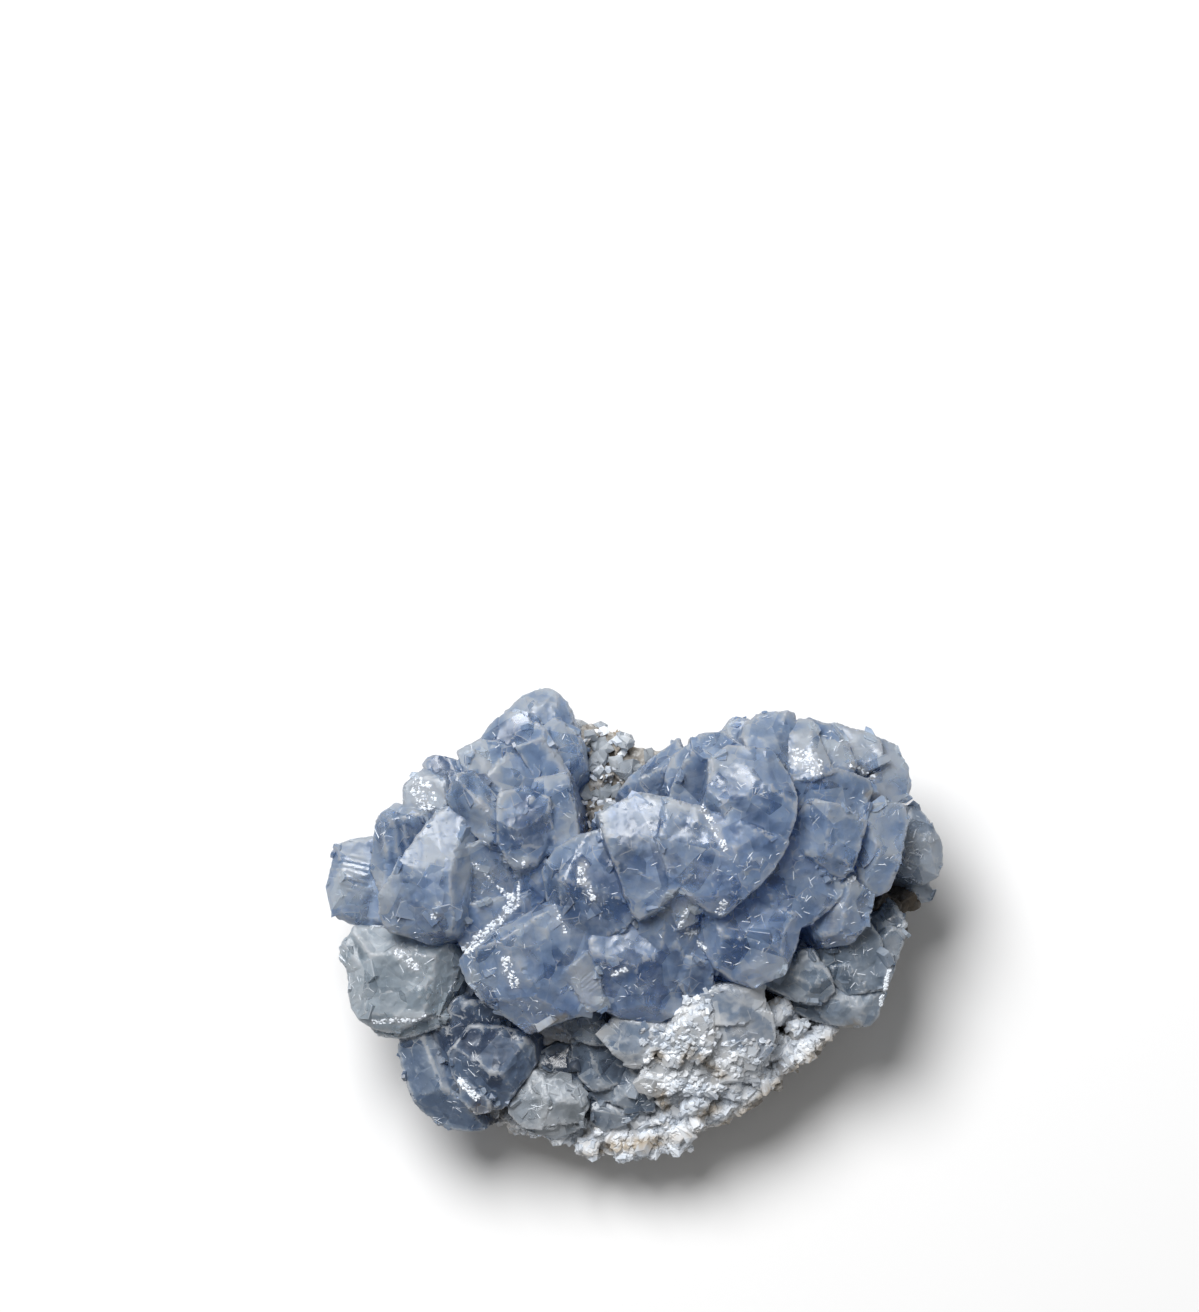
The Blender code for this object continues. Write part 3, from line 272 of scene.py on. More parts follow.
def mesh_object(name, points, faces):
    """A mesh object from arrays of points and of triangles or quads."""
    mesh = bpy.data.meshes.new(name)
    mesh.vertices.add(len(points))
    mesh.vertices.foreach_set("co", points.astype(np.float32).ravel())
    mesh.loops.add(faces.size)
    mesh.loops.foreach_set("vertex_index", faces.astype(np.int32).ravel())
    mesh.polygons.add(len(faces))
    mesh.polygons.foreach_set("loop_start", np.arange(0, faces.size, faces.shape[1], dtype=np.int32))
    mesh.update(calc_edges=True)
    mesh.validate()
    obj = bpy.data.objects.new(name, mesh)
    bpy.context.scene.collection.objects.link(obj)
    return obj


def put_attribute(obj, name, values):
    """Stores one number for each vertex."""
    held = obj.data.attributes.new(name, "FLOAT", "POINT")
    held.data.foreach_set("value", np.asarray(values, np.float32))


def evaluated_copy(obj):
    """The mesh that an object's modifiers give."""
    graph = bpy.context.evaluated_depsgraph_get()
    graph.update()
    return bpy.data.meshes.new_from_object(obj.evaluated_get(graph))


def through_modifier(obj, kind, **settings):
    """Runs one modifier on an object and keeps its result as the object's mesh."""
    step = obj.modifiers.new(kind.lower(), kind)
    for name, value in settings.items():
        setattr(step, name, value)
    mesh = evaluated_copy(obj)
    obj.modifiers.clear()
    obj.data = mesh


def merged_copy(node, name):
    """A copy of a CAD node whose loose triangles are merged."""
    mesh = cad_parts[node].data.copy()
    bm = bmesh.new()
    bm.from_mesh(mesh)
    bmesh.ops.remove_doubles(bm, verts=bm.verts, dist=2e-6)
    bm.to_mesh(mesh)
    bm.free()
    mesh.materials.clear()
    obj = bpy.data.objects.new(name, mesh)
    bpy.context.scene.collection.objects.link(obj)
    return obj


def finish_piece(obj, material):
    """Gives a piece its material and attaches it to the root body."""
    obj.data.materials.clear()
    obj.data.materials.append(material)
    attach(obj, "root")


def shared_values(obj, points, triangles, shade, fine):
    """Stores what the materials read: ridges, depth, tone, and white marks with painted highlights.

    The tone is the sum of the crystals' own shades, the facets' numbers, broad noise, noise
    over the directions that the surface faces, so that faces turned alike are alike in tone,
    and the broad sharpness, which paints light on thin edges and shade in the creases.
    """
    normal = vertex_normals(points, triangles)
    shades = patches(points, [(x, y, x, y, reach, strength) for x, y, reach, strength in SHADES])
    facing = rough(normal, 0.45, lattice(51), 2)
    wide = rough(points, 8 * MM, lattice(52), 2)
    edge_light_and_crease_shade = np.clip(sharpness(points, triangles, 24) / (0.22 * MM), -0.4, 1)
    groove = growth_grooves(points)
    high = 1 - np.clip(2.5 * depth_below(points) - 1, 0, 1)
    put_attribute(obj, "ridge", np.clip(sharpness(points, triangles, 3) / (fine * MM), -1, 1))
    # The depth darkens low places and creases in the materials: painted shade.
    put_attribute(obj, "depth", depth_below(points))
    put_attribute(obj, "tone", np.clip(
        shades + 0.4 * shade + 0.5 * facing + 0.3 * wide + 0.7 * edge_light_and_crease_shade + 0.3 * groove, -1.3, 1.3
    ))
    # The marks hold white marks and frost, and painted highlights on the bright strip and the bright crystal.
    marked = np.maximum(patches(points, MARKS_AND_HIGHLIGHTS), 3 * np.clip(groove - 0.7, 0, 0.25))
    put_attribute(obj, "mark", np.clip(marked * high, 0, 1))
    put_attribute(obj, "stain", np.clip(patches(points, STAINS), 0, 1))


def smoothed(obj, degrees):
    """Shades a mesh smooth, apart from edges that are sharper than an angle."""
    obj.data.shade_smooth()
    obj.data.set_sharp_from_angle(angle=math.radians(degrees))


def worn_crystals(node, material):
    """A group of crystals with rounded, chipped edges and faces broken up into facets.

    The solid is remeshed on voxels, which rounds its edges by about one voxel. Then each
    vertex moves along its normal by the facets' relief, fine terraces (noise rounded to
    steps) and chips, which are noise above a threshold times the sharpness.
    """
    voxel, budget = WORN[node]
    obj = merged_copy(node, "worn_" + node)
    through_modifier(obj, "REMESH", mode="VOXEL", voxel_size=voxel * MM, adaptivity=0.0)
    points = vertex_array(obj.data)
    triangles = triangle_array(obj.data)
    normal = vertex_normals(points, triangles)
    ridge = np.clip(sharpness(points, triangles, 4) / (0.12 * MM), 0, 1)
    relief, shade = broken_faces(points)
    terrace = 0.04 * MM * np.round(2.5 * rough(points * [1, 1, 0.6], 2.2 * MM, lattice(12)))
    bite = np.clip(rough(points, 1.1 * MM, lattice(13)) - 0.1, 0, 1) * ridge
    groove = 0.07 * MM * growth_grooves(points)
    moved = points + normal * (relief + terrace + groove + SWELL - 0.5 * MM * bite)[:, None]
    obj.data.vertices.foreach_set("co", moved.astype(np.float32).ravel())
    obj.data.update()
    shared_values(obj, moved, triangles, shade, 0.06)
    broad = sharpness(moved, triangles, 12)
    normal = vertex_normals(moved, triangles)
    flat = (np.abs(broad) < 0.03 * MM) & (np.abs(sharpness(moved, triangles, 36)) < 0.12 * MM)
    scratch_and_glint_seats = (np.abs(broad) < 0.1 * MM) & (rough(moved, 5 * MM, lattice(54)) > 0.25) & (depth_below(moved) < 0.4)
    marked = (patches(moved, MARKS_AND_HIGHLIGHTS) > 0.5) & (depth_below(moved) < 0.5) & (normal[:, 2] > 0.3)
    kinds = {
        "creases": broad < -0.13 * MM, "flats": flat, "rims": broad > 0.15 * MM,
        "scratch_and_glint_seats": scratch_and_glint_seats, "marked": marked,
    }
    for kind, chosen in kinds.items():
        SEATS[node, kind] = [values[chosen] for values in (moved, normal)]
    ratio = min(1.0, budget / len(triangles))
    through_modifier(obj, "DECIMATE", decimate_type="COLLAPSE", ratio=ratio, use_collapse_triangulate=True)
    smoothed(obj, 16)
    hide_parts(node)
    finish_piece(obj, material)
    return obj


SEATS = {}
CELL = 1.0 * MM
GRID = 128


def spread(obj, count, chance):
    """Points spread evenly over a mesh, with their face normals.

    A face is drawn with a chance in line with its area, and the point in it by two random
    numbers that are folded back when their sum passes one.
    """
    points = vertex_array(obj.data)
    triangles = triangle_array(obj.data)
    normal, area = face_normals(points, triangles)
    face = np.searchsorted(np.cumsum(area) / area.sum(), chance.random(count))
    face = np.minimum(face, len(triangles) - 1)
    u, v = chance.random((2, count))
    over = u + v > 1
    u, v = np.where(over, 1 - u, u), np.where(over, 1 - v, v)
    a, b, c = (points[triangles[face, i]] for i in range(3))
    return a + u[:, None] * (b - a) + v[:, None] * (c - a), normal[face]


def height_map(nodes):
    """The top height of some CAD solids on a plan grid, from points spread over their faces."""
    top = np.zeros((GRID, GRID))
    for node in nodes:
        points, _ = spread(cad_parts[node], 80000, np.random.default_rng(5))
        index = np.clip(np.round(points[:, :2] / CELL).astype(int) + GRID // 2, 0, GRID - 1)
        np.maximum.at(top, (index[:, 0], index[:, 1]), points[:, 2])
    return top


def blurred(values, reach):
    """A map averaged over a square window, by running sums along both axes."""
    for axis in (0, 1):
        values = sum(np.roll(values, step, axis) for step in range(-reach, reach + 1)) / (2 * reach + 1)
    return values


def eroded(values, reach):
    """The least value of a map in a square window."""
    for axis in (0, 1):
        values = np.min([np.roll(values, step, axis) for step in range(-reach, reach + 1)], axis=0)
    return values


def underside_map():
    """The least height of the rock on the same grid, with 1 m where there is none."""
    low = np.ones((GRID, GRID))
    points, _ = spread(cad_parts["matrix"], 80000, np.random.default_rng(6))
    index = np.clip(np.round(points[:, :2] / CELL).astype(int) + GRID // 2, 0, GRID - 1)
    np.minimum.at(low, (index[:, 0], index[:, 1]), points[:, 2])
    return low


TOPS = blurred(height_map(WORN), 4)
UNDERSIDE = -eroded(-underside_map(), 3)
CRYSTAL_TOPS = eroded(height_map(sorted(set(WORN) - {"matrix"})), 3)


def depth_below(points, tops=TOPS, reach=9, least=0):
    """How deep a point lies below a height map: 0 at its height, 1 at the reach in mm or more.

    A point above the map has 0, or as far below 0 as the least value lets it go.
    """
    index = np.clip(np.round(points[:, :2] / CELL).astype(int) + GRID // 2, 0, GRID - 1)
    return np.clip((tops[index[:, 0], index[:, 1]] - points[:, 2]) / (reach * MM), least, 1)


# A plate's rings: radius, height and how bright its edge is, from the foot to inside the rim; the materials paint the
# bright edge white, as wear and a painted edge highlight.
PLATE_RINGS = ((0.9, -0.5, 0.0), (1.0, -0.05, 0.5), (0.95, 0.0, 0.9), (0.88, 0.0, 0.0))
PLATE_SIDES = 6


def plate_faces():
    """The triangles between the rings of one plate, and the fans that close its top and foot."""
    faces = []
    for ring in range(len(PLATE_RINGS) - 1):
        for side in range(PLATE_SIDES):
            a, b = ring * PLATE_SIDES + side, ring * PLATE_SIDES + (side + 1) % PLATE_SIDES
            faces += [(a, b, b + PLATE_SIDES), (a, b + PLATE_SIDES, a + PLATE_SIDES)]
    last = (len(PLATE_RINGS) - 1) * PLATE_SIDES
    faces += [(last, last + side, last + side + 1) for side in range(1, PLATE_SIDES - 1)]
    faces += [(0, side + 1, side) for side in range(1, PLATE_SIDES - 1)]
    return np.array(faces)


def axes_on(normals, tilt, chance):
    """Three unit axes for each piece: two across, and one along the surface normal, tilted at random."""
    count = len(normals)
    up = normals + tilt * chance.normal(size=(count, 3))
    up /= np.linalg.norm(up, axis=1)[:, None]
    side = np.cross(up, chance.normal(size=(count, 3)))
    side /= np.linalg.norm(side, axis=1)[:, None]
    return np.stack([side, np.cross(up, side), up], 1)


def crystal_plates(name, material, seats, sizes, sinks, count, tilt, seed):
    """Flat-topped crystals sunk in the faces of larger ones, so that some of each rim stands out.

    A plate is a six-sided prism whose corners lie at random angles and radii, with a narrow
    bevel and a bright line round its top, which the materials paint white as wear and as a painted
    edge highlight. It lies almost along the face that it grows in, or across a rim, which it cuts
    to a small flat face.
    """
    chance = np.random.default_rng(seed)
    places, normals = seats
    pick = chance.integers(0, len(places), count)
    axes = axes_on(normals[pick], tilt, chance)
    size = MM * (sizes[0] + (sizes[1] - sizes[0]) * chance.random(count) ** 1.5) / 2
    angle = 2 * math.pi * (np.arange(PLATE_SIDES) + chance.uniform(-0.42, 0.42, (count, PLATE_SIDES))) / PLATE_SIDES
    radius = chance.uniform(0.75, 1.15, (count, PLATE_SIDES))
    long = chance.uniform(1.0, 1.3, count)[:, None]
    outline = np.stack([radius * np.cos(angle) * long, radius * np.sin(angle) / long], 2)
    ring = np.array(PLATE_RINGS)
    flat = outline[:, None] * ring[:, 0][:, None, None]
    heights = np.broadcast_to(ring[:, 1][:, None, None], (count, len(ring), PLATE_SIDES, 1))
    corners = np.concatenate([flat, heights], 3).reshape(count, -1, 3)
    sink = size * chance.uniform(*sinks, count)
    centre = places[pick] - sink[:, None] * axes[:, 2]
    points = (centre[:, None] + size[:, None, None] * (corners @ axes)).reshape(-1, 3)
    per_plate = len(ring) * PLATE_SIDES
    faces = (np.arange(count)[:, None, None] * per_plate + plate_faces()).reshape(-1, 3)
    bright = np.repeat(ring[:, 2], PLATE_SIDES)
    return grown(name, material, points, faces, np.tile(bright, count), np.repeat(chance.uniform(-0.5, 0.6, count), per_plate))


def grown(name, material, points, faces, ridge, own):
    """A mesh of many small crystals, with the values that the materials read."""
    obj = mesh_object(name, points, faces)
    obj.data.shade_flat()
    shades = patches(points, [(x, y, x, y, reach, strength) for x, y, reach, strength in SHADES])
    high = 1 - np.clip(2.5 * depth_below(points) - 1, 0, 1)
    put_attribute(obj, "ridge", ridge)
    # The depth darkens low places and creases in the materials: painted shade.
    put_attribute(obj, "depth", depth_below(points))
    put_attribute(obj, "tone", np.clip(shades + own, -1.3, 1.3))
    put_attribute(obj, "mark", np.clip(patches(points, MARKS_AND_HIGHLIGHTS) * high, 0, 1))
    put_attribute(obj, "stain", np.clip(patches(points, STAINS), 0, 1))
    finish_piece(obj, material)
    return obj


BLOCK_CORNERS = np.array([
    (-0.5, -0.38, -0.6), (0.5, -0.38, -0.6), (0.5, 0.38, -0.6), (-0.5, 0.38, -0.6),
    (-0.5, -0.38, 0.3), (0.5, -0.38, 0.3), (0.5, 0.38, 0.3), (-0.5, 0.38, 0.3),
    (-0.22, 0.0, 0.62), (0.22, 0.0, 0.62),
])
BLOCK_FACES = np.array([
    (0, 2, 1), (0, 3, 2), (0, 1, 5), (0, 5, 4), (1, 2, 6), (1, 6, 5), (2, 3, 7), (2, 7, 6), (3, 0, 4), (3, 4, 7),
    (4, 5, 9), (4, 9, 8), (5, 6, 9), (6, 7, 8), (6, 8, 9), (7, 4, 8),
])
# Ridge value of each block corner; the materials whiten the roof as wear and a painted edge highlight.
BLOCK_RIDGE = np.array([-0.4, -0.4, -0.4, -0.4, 0.35, 0.35, 0.35, 0.35, 0.6, 0.6])


def small_crystals(name, material, seats, sizes, count, tilt, shape, seed):
    """Small blocky crystals on chosen seats, joined in one mesh.

    Each is a block with a short roof ridge, whose ten corners are moved at random by up to
    a tenth of its size. It stands along the surface normal plus a random tilt, spun at
    random, and is a random size between two limits, small ones being the most common. Its
    length, width and height are that size times the shape's three numbers.
    """
    chance = np.random.default_rng(seed)
    places, normals = seats
    pick = chance.integers(0, len(places), count)
    axes = axes_on(normals[pick], tilt, chance)
    size = MM * (sizes[0] + (sizes[1] - sizes[0]) * chance.random(count) ** 2.5)
    stretch = chance.uniform((0.8, 0.7, 0.8), (1.3, 1.2, 1.3), (count, 3)) * shape
    corners = (BLOCK_CORNERS + chance.uniform(-0.1, 0.1, (count, 10, 3))) * stretch[:, None]
    points = (places[pick][:, None] + size[:, None, None] * (corners @ axes)).reshape(-1, 3)
    faces = (np.arange(count)[:, None, None] * 10 + BLOCK_FACES).reshape(-1, 3)
    own = np.repeat(chance.uniform(-0.3, 1.3, count), 10)
    return grown(name, material, points, faces, np.tile(BLOCK_RIDGE, count), own)


# Shader pieces

def add(tree, kind, inputs=None, **settings):
    """A node of a shader tree with its settings, and its inputs set or linked."""
    made = tree.nodes.new(kind)
    for name, value in settings.items():
        setattr(made, name, value)
    for name, value in (inputs or {}).items():
        if isinstance(value, bpy.types.NodeSocket):
            tree.links.new(value, made.inputs[name])
        else:
            made.inputs[name].default_value = value
    return made


def math_node(tree, operation, a, b=0.0, clamp=False):
    """The result of a sum, product or other operation on two numbers."""
    return add(tree, "ShaderNodeMath", {0: a, 1: b}, operation=operation, use_clamp=clamp).outputs[0]


def ramp(tree, value, low, high):
    """Maps a value to 0 at low and 1 at high, with a smooth step between."""
    made = add(
        tree, "ShaderNodeMapRange", {"Value": value, "From Min": low, "From Max": high},
        interpolation_type="SMOOTHSTEP",
    )
    return made.outputs["Result"]


def mix(tree, share, first, second):
    """A blend of two colours."""
    made = add(tree, "ShaderNodeMix", data_type="RGBA")
    for index, value in ((0, share), (6, first), (7, second)):
        if isinstance(value, bpy.types.NodeSocket):
            tree.links.new(value, made.inputs[index])
        elif index == 0:
            made.inputs[index].default_value = value
        else:
            made.inputs[index].default_value = (*value, 1) if len(value) == 3 else value
    return made.outputs[2]


def noise_node(tree, vector, scale, detail=3.0, distortion=0.0):
    """Noise over the object, from 0 to 1."""
    return add(
        tree, "ShaderNodeTexNoise",
        {"Vector": vector, "Scale": scale, "Detail": detail, "Distortion": distortion},
    ).outputs["Fac"]


def new_group(name, inputs, outputs):
    """A shader node group with named number inputs and outputs, and its two end nodes."""
    tree = bpy.data.node_groups.new(name, "ShaderNodeTree")
    for label, kind in inputs:
        tree.interface.new_socket(label, in_out="INPUT", socket_type=kind)
    for label, kind in outputs:
        tree.interface.new_socket(label, in_out="OUTPUT", socket_type=kind)
    return tree, tree.nodes.new("NodeGroupInput"), tree.nodes.new("NodeGroupOutput")


FLOAT = "NodeSocketFloat"
COLOR = "NodeSocketColor"
VECTOR = "NodeSocketVector"


def inner_faces(tree, vector, scale):
    """A shade for each Voronoi cell, about 0 to 1, that changes evenly across it in a random direction.

    It is the cell's random number plus its random direction times the way from its centre.
    """
    cell = add(tree, "ShaderNodeTexVoronoi", {"Vector": vector, "Scale": scale})
    way = add(tree, "ShaderNodeVectorMath", {0: vector, 1: cell.outputs["Position"]}, operation="SUBTRACT")
    slope = add(
        tree, "ShaderNodeVectorMath", {0: cell.outputs["Color"], 1: (0.5, 0.5, 0.5)}, operation="SUBTRACT"
    )
    slant = add(tree, "ShaderNodeVectorMath", {0: way.outputs[0], 1: slope.outputs[0]}, operation="DOT_PRODUCT")
    number = add(tree, "ShaderNodeSeparateXYZ", {0: cell.outputs["Color"]}).outputs[0]
    return math_node(tree, "ADD", number, math_node(tree, "MULTIPLY", slant.outputs["Value"], 2.2 * scale))


def make_veins_group():
    """Masks of what lies in clear crystal: clouds, inner faces and thin bright cracks.

    Cracks are the straight borders of the larger inner faces, where noise lets them show.
    """
    tree, given, result = new_group(
        "veins", [("Vector", VECTOR), ("Cloudiness", FLOAT)],
        [("Cloud", FLOAT), ("Inner", FLOAT), ("Crack", FLOAT)],
    )
    vector = given.outputs["Vector"]
    wide = noise_node(tree, vector, 95, 4, 1.2)
    fine = noise_node(tree, vector, 700, 4, 0.5)
    both = math_node(tree, "ADD", math_node(tree, "MULTIPLY", wide, 0.65), math_node(tree, "MULTIPLY", fine, 0.35))
    lifted = math_node(tree, "ADD", both, given.outputs["Cloudiness"])
    tree.links.new(ramp(tree, lifted, 0.42, 0.78), result.inputs["Cloud"])

    faces = [inner_faces(tree, vector, scale) for scale in (150, 340)]
    inner = math_node(
        tree, "ADD", math_node(tree, "MULTIPLY", faces[0], 0.6), math_node(tree, "MULTIPLY", faces[1], 0.4)
    )
    tree.links.new(inner, result.inputs["Inner"])
    edges = add(tree, "ShaderNodeTexVoronoi", {"Vector": vector, "Scale": 340}, feature="DISTANCE_TO_EDGE")
    line = ramp(tree, edges.outputs["Distance"], 0.026, 0.010)
    broken = ramp(tree, noise_node(tree, vector, 260, 3), 0.54, 0.60)
    tree.links.new(math_node(tree, "MULTIPLY", line, broken), result.inputs["Crack"])
    return tree


VEINS = make_veins_group()


def group_node(tree, group, inputs):
    """A node that holds a group, with its inputs set or linked."""
    made = add(tree, "ShaderNodeGroup", node_tree=group)
    for name, value in inputs.items():
        if isinstance(value, bpy.types.NodeSocket):
            tree.links.new(value, made.inputs[name])
        else:
            made.inputs[name].default_value = value
    return made


def attribute(tree, name):
    """A number stored on the mesh."""
    return add(tree, "ShaderNodeAttribute", attribute_name=name).outputs["Fac"]


def new_material(name):
    """An empty material with a Principled shader, and its tree, shader and place on the object."""
    material = bpy.data.materials.new(name)
    material.use_nodes = True
    tree = material.node_tree
    shader = tree.nodes["Principled BSDF"]
    place = add(tree, "ShaderNodeTexCoord").outputs["Object"]
    return material, tree, shader, place


WHITE = (0.84, 0.88, 0.93)
OCHRE = (0.40, 0.30, 0.17)


def crystal_material(name, deep, body, pale, cloudiness, transmission, absorb, density, frost=0.0, dull=0.0):
    """Veined translucent crystal: painted shade in its creases and low places, pale in its clouds, white on worn edges
    with a painted edge highlight, and white marks with painted highlights.
    """
    material, tree, shader, place = new_material(name)
    veins = group_node(tree, VEINS, {"Vector": place, "Cloudiness": cloudiness})
    inner = math_node(tree, "MULTIPLY", math_node(tree, "SUBTRACT", veins.outputs["Inner"], 0.5), 1.2)
    tone = math_node(tree, "ADD", attribute(tree, "tone"), inner)
    colour = mix(tree, ramp(tree, tone, -1.1, 0.1), deep, body)
    colour = mix(tree, ramp(tree, tone, 0.0, 1.1), colour, pale)
    colour = mix(tree, math_node(tree, "MULTIPLY", veins.outputs["Cloud"], 0.8), colour, pale)
    # Darker toward the deep colour in low places and creases, by the depth below the tops: painted shade.
    colour = mix(tree, math_node(tree, "MULTIPLY", attribute(tree, "depth"), 0.6), colour, deep)
    # White on sharp ridges, broken by noise: chipped, frosted wear, and a painted edge highlight.
    worn = ramp(tree, attribute(tree, "ridge"), 0.35, 0.9)
    worn_and_highlit_edge = math_node(tree, "MULTIPLY", worn, ramp(tree, noise_node(tree, place, 520, 3), 0.36, 0.58))
    white = math_node(tree, "MULTIPLY", worn_and_highlit_edge, 0.8)
    white = math_node(tree, "MAXIMUM", white, math_node(tree, "MULTIPLY", veins.outputs["Crack"], 0.7))
    frosted = ramp(tree, math_node(tree, "ADD", noise_node(tree, place, 230, 4, 0.6), frost), 0.68, 0.84)
    white = math_node(tree, "MAXIMUM", white, math_node(tree, "MULTIPLY", frosted, 0.6))
    grainy = math_node(tree, "ADD", ramp(tree, noise_node(tree, place, 900, 3), 0.34, 0.60), 0.35, clamp=True)
    # Marked places turn white: white marks and frost, and painted highlights where facets catch the key light.
    marked = math_node(tree, "MULTIPLY", attribute(tree, "mark"), grainy)
    white = math_node(tree, "MAXIMUM", white, marked)
    colour = mix(tree, white, colour, WHITE)
    stained = math_node(tree, "MULTIPLY", attribute(tree, "stain"), grainy)
    colour = mix(tree, math_node(tree, "MULTIPLY", stained, 0.7), colour, OCHRE)
    tree.links.new(colour, shader.inputs["Base Color"])
    gloss = add(
        tree, "ShaderNodeMapRange",
        {"Value": math_node(tree, "MAXIMUM", white, veins.outputs["Inner"]), "To Min": 0.24 + dull, "To Max": 0.54 + dull},
    )
    tree.links.new(gloss.outputs["Result"], shader.inputs["Roughness"])
    relief = noise_node(tree, place, 800, 3, 0.4)
    bump = add(tree, "ShaderNodeBump", {"Height": relief, "Strength": 0.12, "Distance": 0.0003})
    tree.links.new(bump.outputs["Normal"], shader.inputs["Normal"])
    shader.inputs["IOR"].default_value = 1.62
    shader.inputs["Specular IOR Level"].default_value = 0.2
    shader.inputs["Transmission Weight"].default_value = transmission
    volume = add(tree, "ShaderNodeVolumeAbsorption", {"Color": (*absorb, 1), "Density": density})
    output = next(n for n in tree.nodes if n.type == "OUTPUT_MATERIAL")
    tree.links.new(volume.outputs[0], output.inputs["Volume"])
    return material


def rock_material():
    """Grey-brown granular rock: tan and ochre stains, pale grains, and painted shade in its pits, creases and low
    places.
    """
    material, tree, shader, place = new_material("grey_brown_rock")
    grain = noise_node(tree, place, 900, 5, 0.3)
    broad = noise_node(tree, place, 130, 4, 0.8)
    colour = mix(tree, ramp(tree, broad, 0.35, 0.65), (0.40, 0.38, 0.35), (0.22, 0.20, 0.175))
    colour = mix(tree, ramp(tree, grain, 0.45, 0.7), colour, (0.60, 0.59, 0.57))
    stain = ramp(tree, noise_node(tree, place, 210, 3, 0.6), 0.58, 0.70)
    colour = mix(tree, math_node(tree, "MULTIPLY", stain, 0.6), colour, (0.36, 0.25, 0.13))
    # Creases and pits darker, by the negative ridge value: painted shade.
    colour = mix(tree, ramp(tree, attribute(tree, "ridge"), 0.0, -0.8), colour, (0.06, 0.05, 0.042))
    # Low places darker, by the depth below the tops: painted shade; the dark rock at the right end adds its own dark
    # colour through the same value.
    deep = math_node(tree, "MULTIPLY", attribute(tree, "depth"), 0.55, clamp=True)
    colour = mix(tree, deep, colour, (0.06, 0.05, 0.04))
    colour = mix(tree, math_node(tree, "MULTIPLY", attribute(tree, "crusted"), 0.85), colour, (0.78, 0.79, 0.80))
    colour = mix(tree, attribute(tree, "covered"), colour, (0.70, 0.75, 0.80))
    tree.links.new(colour, shader.inputs["Base Color"])
    shader.inputs["Roughness"].default_value = 0.88
    relief = math_node(tree, "ADD", grain, math_node(tree, "MULTIPLY", noise_node(tree, place, 3000, 3), 0.4))
    bump = add(tree, "ShaderNodeBump", {"Height": relief, "Strength": 0.7, "Distance": 0.0006})
    tree.links.new(bump.outputs["Normal"], shader.inputs["Normal"])
    return material


BLUE = dict(deep=(0.12, 0.21, 0.40), body=(0.38, 0.54, 0.80), pale=(0.80, 0.89, 0.98))

MATERIALS = {
    "main_crystals": crystal_material("blue_crystal", **BLUE, cloudiness=0.0, transmission=0.68,
                                      absorb=(0.5, 0.70, 0.95), density=30),
    "pale_left_crystal": crystal_material("pale_crystal", (0.28, 0.36, 0.44), (0.50, 0.60, 0.69),
                                          (0.76, 0.83, 0.89), 0.06, 0.6, (0.7, 0.82, 0.95), 20),
    "lower_left_crystals": crystal_material("dark_blue_crystal", (0.07, 0.11, 0.20), (0.20, 0.29, 0.45),
                                            (0.50, 0.61, 0.76), -0.04, 0.6, (0.4, 0.58, 0.88), 50),
    "front_crystals": crystal_material("cloudy_crystal", (0.26, 0.30, 0.34), (0.48, 0.54, 0.61),
                                       (0.74, 0.79, 0.84), 0.06, 0.5, (0.75, 0.84, 0.93), 20, frost=0.04),
    "hollow_crystals": crystal_material("slate_crystal", (0.08, 0.11, 0.17), (0.24, 0.32, 0.44),
                                        (0.54, 0.62, 0.72), -0.02, 0.6, (0.45, 0.6, 0.88), 40),
    "white_crust_crystals": crystal_material("white_crystal", (0.27, 0.36, 0.50), (0.74, 0.80, 0.87),
                                             (0.96, 0.97, 0.98), 0.08, 0.45, (0.85, 0.92, 0.97), 15, frost=0.12),
    "lower_right_crystals": crystal_material("grey_blue_crystal", (0.11, 0.16, 0.23), (0.31, 0.40, 0.52),
                                             (0.62, 0.70, 0.79), 0.02, 0.6, (0.6, 0.73, 0.93), 35),
    "far_right_crystals": crystal_material("dim_blue_crystal", (0.11, 0.16, 0.23), (0.33, 0.42, 0.56),
                                           (0.62, 0.70, 0.80), 0.0, 0.6, (0.55, 0.7, 0.92), 35),
}
ROCK = rock_material()
GRAIN = crystal_material("frosted_grain", (0.34, 0.35, 0.37), (0.58, 0.64, 0.72), (0.88, 0.91, 0.95),
                         0.02, 0.0, (0.8, 0.85, 0.9), 30, frost=0.03, dull=0.28)


def scratch_and_glint_material():
    """The white, glossy flakes and scratches on the faces of the crystals, which also stand in for glints: painted
    highlights.
    """
    material, _, shader, _ = new_material("white_scratch_and_glint")
    shader.inputs["Base Color"].default_value = (0.86, 0.91, 0.97, 1)
    shader.inputs["Roughness"].default_value = 0.2
    return material


SCRATCH_AND_GLINT = scratch_and_glint_material()


